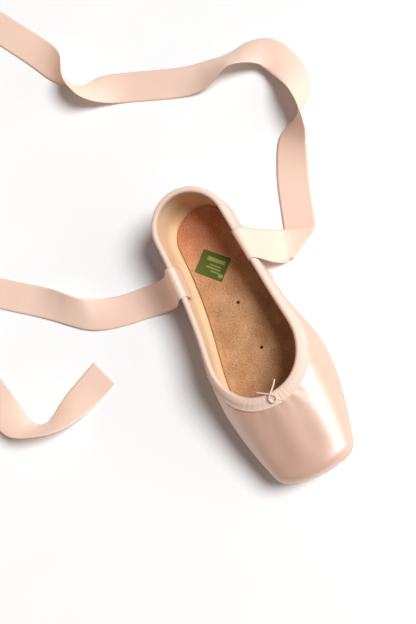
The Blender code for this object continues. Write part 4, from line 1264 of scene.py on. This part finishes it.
def make_strip(name, turn, thickness, material, node):
    """Thin slab on the wall with rounded long edges, as a loft down the shoe."""
    depth, points, normal = strip_wall(turn, thickness, STRIP_ROWS)
    place = np.linspace(-1.0, 1.0, len(turn))[:, None]
    rounded = FIT / 2 + thickness * (1.0 - np.abs(place) ** STRIP_EDGE_POWER * STRIP_EDGE)
    ripple = RIPPLE_RISE * np.sin(depth / RIPPLE_RUN) * (1.0 - place ** 2)
    upper = points + normal * (rounded + ripple)[..., None]
    lower = points - normal * FIT
    section = facing(upper.transpose(1, 0, 2), lower.transpose(1, 0, 2))
    across = np.concatenate([place, place[::-1]])[:, 0] * TAPE_WIDTH / 2
    measure = np.stack(np.meshgrid(across, depth.mean(axis=0)), axis=-1)
    item = add_loft(name, section[None], material, measure[None])
    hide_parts(node)


def seam_places(width, steps):
    """Places across a side seam."""
    return SEAM_PLACE + np.linspace(-0.5, 0.5, steps) * width


make_strip("heel_tape_satin", heel_turns(TAPE_WIDTH, TAPE_COLUMNS), TAPE_THICKNESS, SATIN,
           "heel_tape")
for seam_name, seam_side in (("side_seam_left", 1), ("side_seam_right", -1)):
    seam_turn = seam_turns(seam_places(SEAM_WIDTH, SEAM_COLUMNS), seam_side)
    make_strip(seam_name + "_satin", seam_turn, SEAM_THICKNESS, SATIN, seam_name)

# %% Stitches
BEAD_ROWS, BEAD_LOOP = 7, 6
BEAD_END = 0.12                 # radians from a bead's tip to its first loop
BEAD_FLATNESS = 0.7
ROW_STEPS = 160
STITCH_PLACES = 13              # even places across a tape or seam, some of them stitched
TAPE_STITCHED, SEAM_STITCHED = (1, -2), (3, -4)
CASING_STITCHES = FOLD_LINE - 1.0 * MM
CASING_STITCH_LIFT = CASING_BASE + 0.05 * MM


def bead_sections(path, normal, pitch):
    """Ellipsoid beads along a path, one each pitch: long axis on the path, lifted halfway."""
    measure = distances_along(path)
    centre_at = np.arange(pitch / 2, measure[-1] - pitch / 4, pitch)

    def read(values, place):
        """Values at distances along the path."""
        return np.stack([np.interp(place, measure, column) for column in values.T], axis=1)

    centre = read(path, centre_at)
    reach = STITCH_LENGTH / 2
    ahead = unit(read(path, centre_at + reach) - read(path, centre_at - reach))
    up = read(normal, centre_at)
    aside = np.cross(up, ahead)
    polar = np.linspace(BEAD_END, math.pi - BEAD_END, BEAD_ROWS)[None, :, None, None]
    spin = (np.arange(BEAD_LOOP) + 0.5)[None, None, :, None] * 2 * math.pi / BEAD_LOOP
    axes = [vector[:, None, None, :] for vector in (ahead, aside, up)]
    return (centre[:, None, None, :] + axes[0] * np.cos(polar) * reach
            + (axes[1] * np.cos(spin) + axes[2] * np.sin(spin) * BEAD_FLATNESS)
            * np.sin(polar) * STITCH_WIDTH / 2)


def down_path(turn, thickness):
    """A line down the wall at one turn, lifted by the thickness of the strip that it is on."""
    points, normal = (grid[0] for grid in strip_wall(np.array([turn]), thickness, ROW_STEPS)[1:])
    return points + normal * (FIT / 2 + thickness), normal


def casing_path():
    """A line round the collar just above the casing's fold."""
    turn = np.arange(CASING_ROUND + 1) / CASING_ROUND % 1.0
    depth = np.full((len(turn), 1), CASING_STITCHES)
    points, normal = (grid[:, 0] for grid in wall_grid(turn, depth, measured_profiles(turn)))
    return points + normal * CASING_STITCH_LIFT, normal


def make_stitches():
    """All rows: two down the heel tape, two down each side seam, one round the casing."""
    tape = heel_turns(TAPE_WIDTH, STITCH_PLACES)
    rows = [down_path(tape[edge], TAPE_THICKNESS) for edge in TAPE_STITCHED]
    for side in (1, -1):
        seam = seam_turns(seam_places(SEAM_WIDTH, STITCH_PLACES), side)
        rows += [down_path(seam[edge], SEAM_THICKNESS) for edge in SEAM_STITCHED]
    rows.append(casing_path())
    beads = [bead_sections(path, normal, STITCH_PITCH) for path, normal in rows]
    item = add_loft("stitches", np.concatenate(beads), THREAD)


make_stitches()

# %% [markdown]
# Outsole
#
# The outsole is one piece of leather, pressed with grooves that wave across the forefoot,
# plain at the waist and heel, with a fine line pressed along its rim. Its underside is a
# fine grid, so the grooves are real, and the depth of the relief also drives the colour.

# %% Make the outsole
OUTSOLE_COLUMNS = 121
GROOVE_PITCH = 1.75 * MM
GROOVE_DEPTH = 0.42 * MM
TREAD_BACK = 104 * MM           # from the outsole's heel end to where the grooves start
TREAD_POINT = 16 * MM           # the start is a soft V, this much longer at the sides
TREAD_FADE = 2.5 * MM
TREAD_MARGIN, TREAD_MARGIN_FADE = 2.6 * MM, 1.2 * MM
WAVE_BEND, WAVE_WIDTH = 3.1 * MM, 21 * MM
WAVE_SHIFT, WAVE_SHIFT_RUN = 1.3, 9 * MM
SWAY_BEND, SWAY_WIDTH, SWAY_SLANT = 1.4 * MM, 27 * MM, 0.6
GROOVE_FROM, GROOVE_SOFT = 0.1, 0.75  # of the cosine: where a groove starts, and how softly
RIM_PLACE = 1.5 * MM
RIM_WIDTH = 0.4 * MM
RIM_DEPTH = 0.25 * MM
RIM_DARKNESS = 0.7
RIM_ROUND = 0.6 * MM
FIRST_ANGLE = 0.08              # radians from the heel's tip to the first section
HEEL_SECTIONS, PLAIN_SECTIONS, TREAD_SECTIONS, TOE_SECTIONS = 26, 60, 230, 60


def sole_places():
    """Places along the outsole: closer where its ends are round and where it is grooved."""
    heel_angle = np.linspace(FIRST_ANGLE, math.pi / 2, HEEL_SECTIONS)
    heel = SOLE_HEEL_ROUND * (1.0 - np.cos(heel_angle))
    toe_angle = np.linspace(0, math.pi / 2, TOE_SECTIONS)[:-1]
    toe = SOLE_LENGTH - SOLE_TOE_ROUND * (1.0 - np.sin(toe_angle))
    plain = np.linspace(heel[-1], TREAD_BACK - TREAD_POINT, PLAIN_SECTIONS)[1:]
    tread = np.linspace(plain[-1], toe[0], TREAD_SECTIONS)[1:-1]
    return np.concatenate([heel, plain, tread, toe]) + SOLE_HEEL_MARGIN


def wave_grooves(x, place):
    """Depth share of the grooves: a cosine of the distance along, bent by waves across."""
    shift = WAVE_SHIFT * np.sin(place / WAVE_SHIFT_RUN)
    bend = WAVE_BEND * np.sin(2 * math.pi * x / WAVE_WIDTH + shift)
    sway = SWAY_BEND * np.sin(2 * math.pi * (place + SWAY_SLANT * x) / SWAY_WIDTH)
    phase = (place + bend + sway) / GROOVE_PITCH
    line = smooth_step((np.cos(2 * math.pi * phase) - GROOVE_FROM) / GROOVE_SOFT)
    start = TREAD_BACK - TREAD_POINT * np.abs(x) / (SOLE_WIDTH / 2)
    return line * smooth_step((place - start) / TREAD_FADE)


def make_outsole():
    """Loops across the sole: an underside with relief and rounded rims, then a plain top."""
    along = sole_places()
    half = sole_half_width(along)
    x, place = spread_across(along, half, np.linspace(-1.0, 1.0, OUTSOLE_COLUMNS))
    end_gap = np.minimum(along - SOLE_HEEL_MARGIN, LENGTH - SOLE_TOE_MARGIN - along)[:, None]
    from_edge = np.minimum(half[:, None] - np.abs(x), end_gap)
    inner = smooth_step((from_edge - TREAD_MARGIN) / TREAD_MARGIN_FADE)
    grooves = wave_grooves(x, place - SOLE_HEEL_MARGIN) * inner
    rim = bump_line(from_edge - RIM_PLACE, RIM_WIDTH)
    rounding = edge_rounding(from_edge, RIM_ROUND)
    floor = under_height(np.zeros_like(x), place) - FIT - SOLE_THICKNESS
    depth = GROOVE_DEPTH * grooves + RIM_DEPTH * rim + rounding
    bottom = np.stack([x, place, floor + depth], axis=-1)
    top = np.stack([x, place, under_height(x, place) - FIT / 2], axis=-1)
    plain = 1.0 - np.clip(grooves + RIM_DARKNESS * rim, 0.0, 1.0)
    item = add_loft("leather_outsole", facing(bottom, top)[None], LEATHER,
                    relief=facing(plain, np.ones_like(plain)))
    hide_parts("outsole")


make_outsole()

# %% [markdown]
# Sock and tacks
#
# The sock is a board covered with cloth, lying on the turned-in edge of the upper, where it
# curls up a little with the wall. Two small steel tacks hold it.

# %% Make the sock
SOCK_ROWS = 240
SOCK_COLUMNS = 61
SOCK_ROUND = 0.9 * MM
SOCK_PAINTED_SHADE_TO = 10 * MM           # from the heel: the painted shade is fullest up to here
SOCK_PAINTED_SHADE_FADE = 85 * MM
SOCK_OUTLINE_STEPS = 400
UNEVEN_RISE = 0.12 * MM
UNEVEN_ALONG, UNEVEN_ACROSS = 17 * MM, 11 * MM


def insole_under(x, along):
    """Underside of the sock, clear of the turned-in margin of the upper."""
    ahead, behind = (under_height(x + step, along) for step in (SLOPE_STEP, -SLOPE_STEP))
    slope = (ahead - behind) / (2 * SLOPE_STEP)
    return under_height(x, along) + wall_thickness(along) * np.sqrt(1.0 + slope ** 2) + FIT


def sock_top(x, along):
    """Top of the sock: its board's thickness over the underside, with a faint unevenness."""
    uneven = UNEVEN_RISE * np.sin(along / UNEVEN_ALONG + 1.0) * np.cos(x / UNEVEN_ACROSS)
    return insole_under(x, along) + INSOLE_THICKNESS + uneven


def sock_outline():
    """Places along the sock and half widths there: the outsole's outline moved outwards."""
    turn = np.linspace(0.0, 0.5, SOCK_OUTLINE_STEPS)
    spine, out_x, out_y = ring_frame(turn)
    reach = outline_reach(turn) - LASTING_MARGIN + INSOLE_OVERLAP
    along = spine + out_y * reach
    share = (1.0 - np.cos(np.linspace(0.0, math.pi, SOCK_ROWS + 2)[1:-1])) / 2
    places = along[0] + (along[-1] - along[0]) * share
    return places, np.interp(places, along, out_x * reach)


def make_sock():
    """Loops across the board: top with rounded edges, then the underside back."""
    along, half = sock_outline()
    share = np.sin(np.linspace(-1.0, 1.0, SOCK_COLUMNS) * math.pi / 2)
    x, place = spread_across(along, half, share)
    end_gap = np.minimum(along - along[0], along[-1] - along)[:, None]
    from_edge = np.minimum(half[:, None] - np.abs(x), end_gap)
    top = sock_top(x, place) - edge_rounding(from_edge, SOCK_ROUND)
    upper = np.stack([x, place, top], axis=-1)
    lower = np.stack([x, place, insole_under(x, place)], axis=-1)
    section = facing(upper, lower)
    # Painted shade: 0 at the heel, where the sock takes its redder, darker shaded tones, rising
    # to 1 toward the toe.
    painted_shade_fade = smooth_step((section[..., 1] - SOCK_PAINTED_SHADE_TO) / SOCK_PAINTED_SHADE_FADE)
    item = add_loft("sock", section[None], SOCK, section[None, ..., :2], painted_shade_fade)
    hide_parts("insole")


make_sock()

# %% Make the tacks
TACK_RADIUS = 1.25 * MM
TACK_HEIGHT = 0.5 * MM
TACK_PLACES = (89.5 * MM, 127.5 * MM)
TACK_LOOP = 32
TACK_PROFILE = (                # shares of the radius and of the height over the sock
    (0.02, 0.55), (0.25, 0.75), (0.5, 0.95), (0.75, 1.0), (0.93, 0.8), (1.0, 0.4), (1.0, -0.4),
)


def make_tacks():
    """Each head is a turned profile with a small dimple; the loop is closed under it."""
    spin = np.arange(TACK_LOOP) * 2 * math.pi / TACK_LOOP
    for number, along in enumerate(TACK_PLACES, start=1):
        seat = float(sock_top(np.zeros(1), np.array([along]))[0])
        profile = np.array(TACK_PROFILE)[:, :, None]
        radius = profile[:, 0] * TACK_RADIUS
        height = seat + profile[:, 1] * TACK_HEIGHT
        points = np.stack(np.broadcast_arrays(
            radius * np.cos(spin), along + radius * np.sin(spin), height), axis=-1)
        item = add_loft("tack_%d" % number, points[None], STEEL)
        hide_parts("insole_tack_%d" % number)


make_tacks()

# %% [markdown]
# Label
#
# A small green paper label is glued on the sock near the heel. Its print is generic: plain
# bars and a dot.

# %% Make the label
LABEL_WIDTH, LABEL_LENGTH = 19.3 * MM, 24 * MM
LABEL_PLACE = (5.4 * MM, 53.6 * MM)
LABEL_TURN = math.radians(41)
LABEL_CORNER = 0.8 * MM
LABEL_THICKNESS = 0.18 * MM
LABEL_GAP = 0.02 * MM
LABEL_END = 0.995               # keeps the end rows off the corner's tip
LABEL_STEPS = 96
LABEL_BARS = ((0.1, -0.45, 0.62, 0.16), (0.2, -0.02, 0.40, 0.05), (0.1, 0.22, 0.52, 0.05),
              (0.3, 0.46, 0.30, 0.05))  # middle down, middle across, half length, half width
LABEL_DOT = (0.76, 0.60, 0.17)  # place down and across, then its half size
BAR_BLUR, DOT_BLUR = 0.15, 0.2  # shares of a bar's or dot's half size


def label_print(across, down):
    """1 in the bars and the dot: each a soft box or disc in shares of the half sizes."""
    mask = np.zeros(across.shape)
    for down_at, across_at, reach, half in LABEL_BARS:
        box = np.maximum(np.abs(down - down_at) / reach, np.abs(across - across_at) / half)
        mask = np.maximum(mask, smooth_step((1.0 + BAR_BLUR - box) / (2 * BAR_BLUR)))
    disc = np.hypot(across - LABEL_DOT[1], down - LABEL_DOT[0]) / LABEL_DOT[2]
    return np.maximum(mask, smooth_step((1.0 + DOT_BLUR - disc) / (2 * DOT_BLUR)))


def make_label():
    """Thin slab whose outline is a rounded box, draped on the sock's top."""
    share = np.linspace(-1.0, 1.0, LABEL_STEPS)
    down = np.sin(share * math.pi / 2 * LABEL_END) * LABEL_LENGTH / 2
    into_corner = np.clip(np.abs(down) - LABEL_LENGTH / 2 + LABEL_CORNER, 0, None)
    half = LABEL_WIDTH / 2 - LABEL_CORNER + np.sqrt(LABEL_CORNER ** 2 - into_corner ** 2)
    flat_x, flat_y = spread_across(down, half, share)
    x = LABEL_PLACE[0] + flat_x * math.cos(LABEL_TURN) - flat_y * math.sin(LABEL_TURN)
    along = LABEL_PLACE[1] + flat_x * math.sin(LABEL_TURN) + flat_y * math.cos(LABEL_TURN)
    top = sock_top(x, along)
    upper = np.stack([x, along, top + LABEL_THICKNESS], axis=-1)
    lower = np.stack([x, along, top + LABEL_GAP], axis=-1)
    mask = label_print(flat_x / (LABEL_WIDTH / 2), flat_y / (LABEL_LENGTH / 2))
    add_loft("label", facing(upper, lower)[None], LABEL, relief=facing(mask, np.zeros_like(mask)))


make_label()

# %% [markdown]
# Floor and light
#
# The shoe lies on a plain white floor in studio light. The key light comes from the side
# where the box's gloss lies, so the shadow falls the other way. A long soft box stands low on
# the same side: the satin mirrors it as a broad pale band. A weak warm light stands low on
# the other side and fills the shade, together with an even surround.

# %% Floor, lights and surround
FLOOR_SIZE = 6.0
KEY_AZIMUTH = 172               # degrees: where the light comes from, in plan from +X
KEY_ELEVATION = 51
KEY_STRENGTH = 3.25
KEY_ANGLE = 24
SURROUND_STRENGTH = 0.12
PANELS = (                      # azimuth, elevation, distance, width, height, power, colour
    ("soft_box", 153, 25, 1.0, 0.9, 0.34, 2.0, "FFFFFF"),
    ("warm_fill", 335, 6, 0.9, 0.5, 0.12, 1.6, "FFC688"),
)


def make_floor():
    """Flat square just under the object, pale and matt."""
    material, tree, shader = new_material("paper_backdrop_matt", "F6F6F6", 0.9, [
        ("Specular IOR Level", 0.1)])
    grain = blotches(tree, coordinate(tree, "Object"), 60 * MM)
    two_tones(tree, shader, grain, "FCFCFC", "FFFFFF")
    mesh = bpy.data.meshes.new("floor")
    reach = FLOOR_SIZE / 2
    corners = [(-reach, -reach, 0), (reach, -reach, 0), (reach, reach, 0), (-reach, reach, 0)]
    mesh.from_pydata(corners, [], [(0, 1, 2, 3)])
    mesh.materials.append(material)
    floor = place_object("floor", mesh)


def direction(azimuth, elevation):
    """Unit vector towards an azimuth and an elevation in degrees."""
    around, above = math.radians(azimuth), math.radians(elevation)
    return Vector((math.cos(around) * math.cos(above), math.sin(around) * math.cos(above),
                   math.sin(above)))


def make_light(name, kind, toward, distance, settings):
    """Light at a distance from the shoe, turned to look at it."""
    data = bpy.data.lights.new(name, kind)
    for key, value in settings:
        setattr(data, key, value)
    light = place_object(name, data)
    light.rotation_mode = "QUATERNION"
    light.rotation_quaternion = (-toward).to_track_quat("-Z", "Y")
    light.location = toward * distance


def make_surround():
    """Even pale world."""
    world = bpy.data.worlds.new("surround")
    world.use_nodes = True
    background = world.node_tree.nodes["Background"]
    background.inputs["Color"].default_value = (1.0, 1.0, 1.0, 1.0)
    background.inputs["Strength"].default_value = SURROUND_STRENGTH
    bpy.context.scene.world = world


make_floor()
make_light("key", "SUN", direction(KEY_AZIMUTH, KEY_ELEVATION), 1.0, [
    ("energy", KEY_STRENGTH), ("angle", math.radians(KEY_ANGLE))])
for panel, azimuth, elevation, distance, width, height, power, tint in PANELS:
    make_light(panel, "AREA", direction(azimuth, elevation), distance, [
        ("shape", "RECTANGLE"), ("size", width), ("size_y", height),
        ("energy", power), ("color", linear(tint)[:3])])
make_surround()
bpy.context.scene.view_settings.view_transform = "Standard"
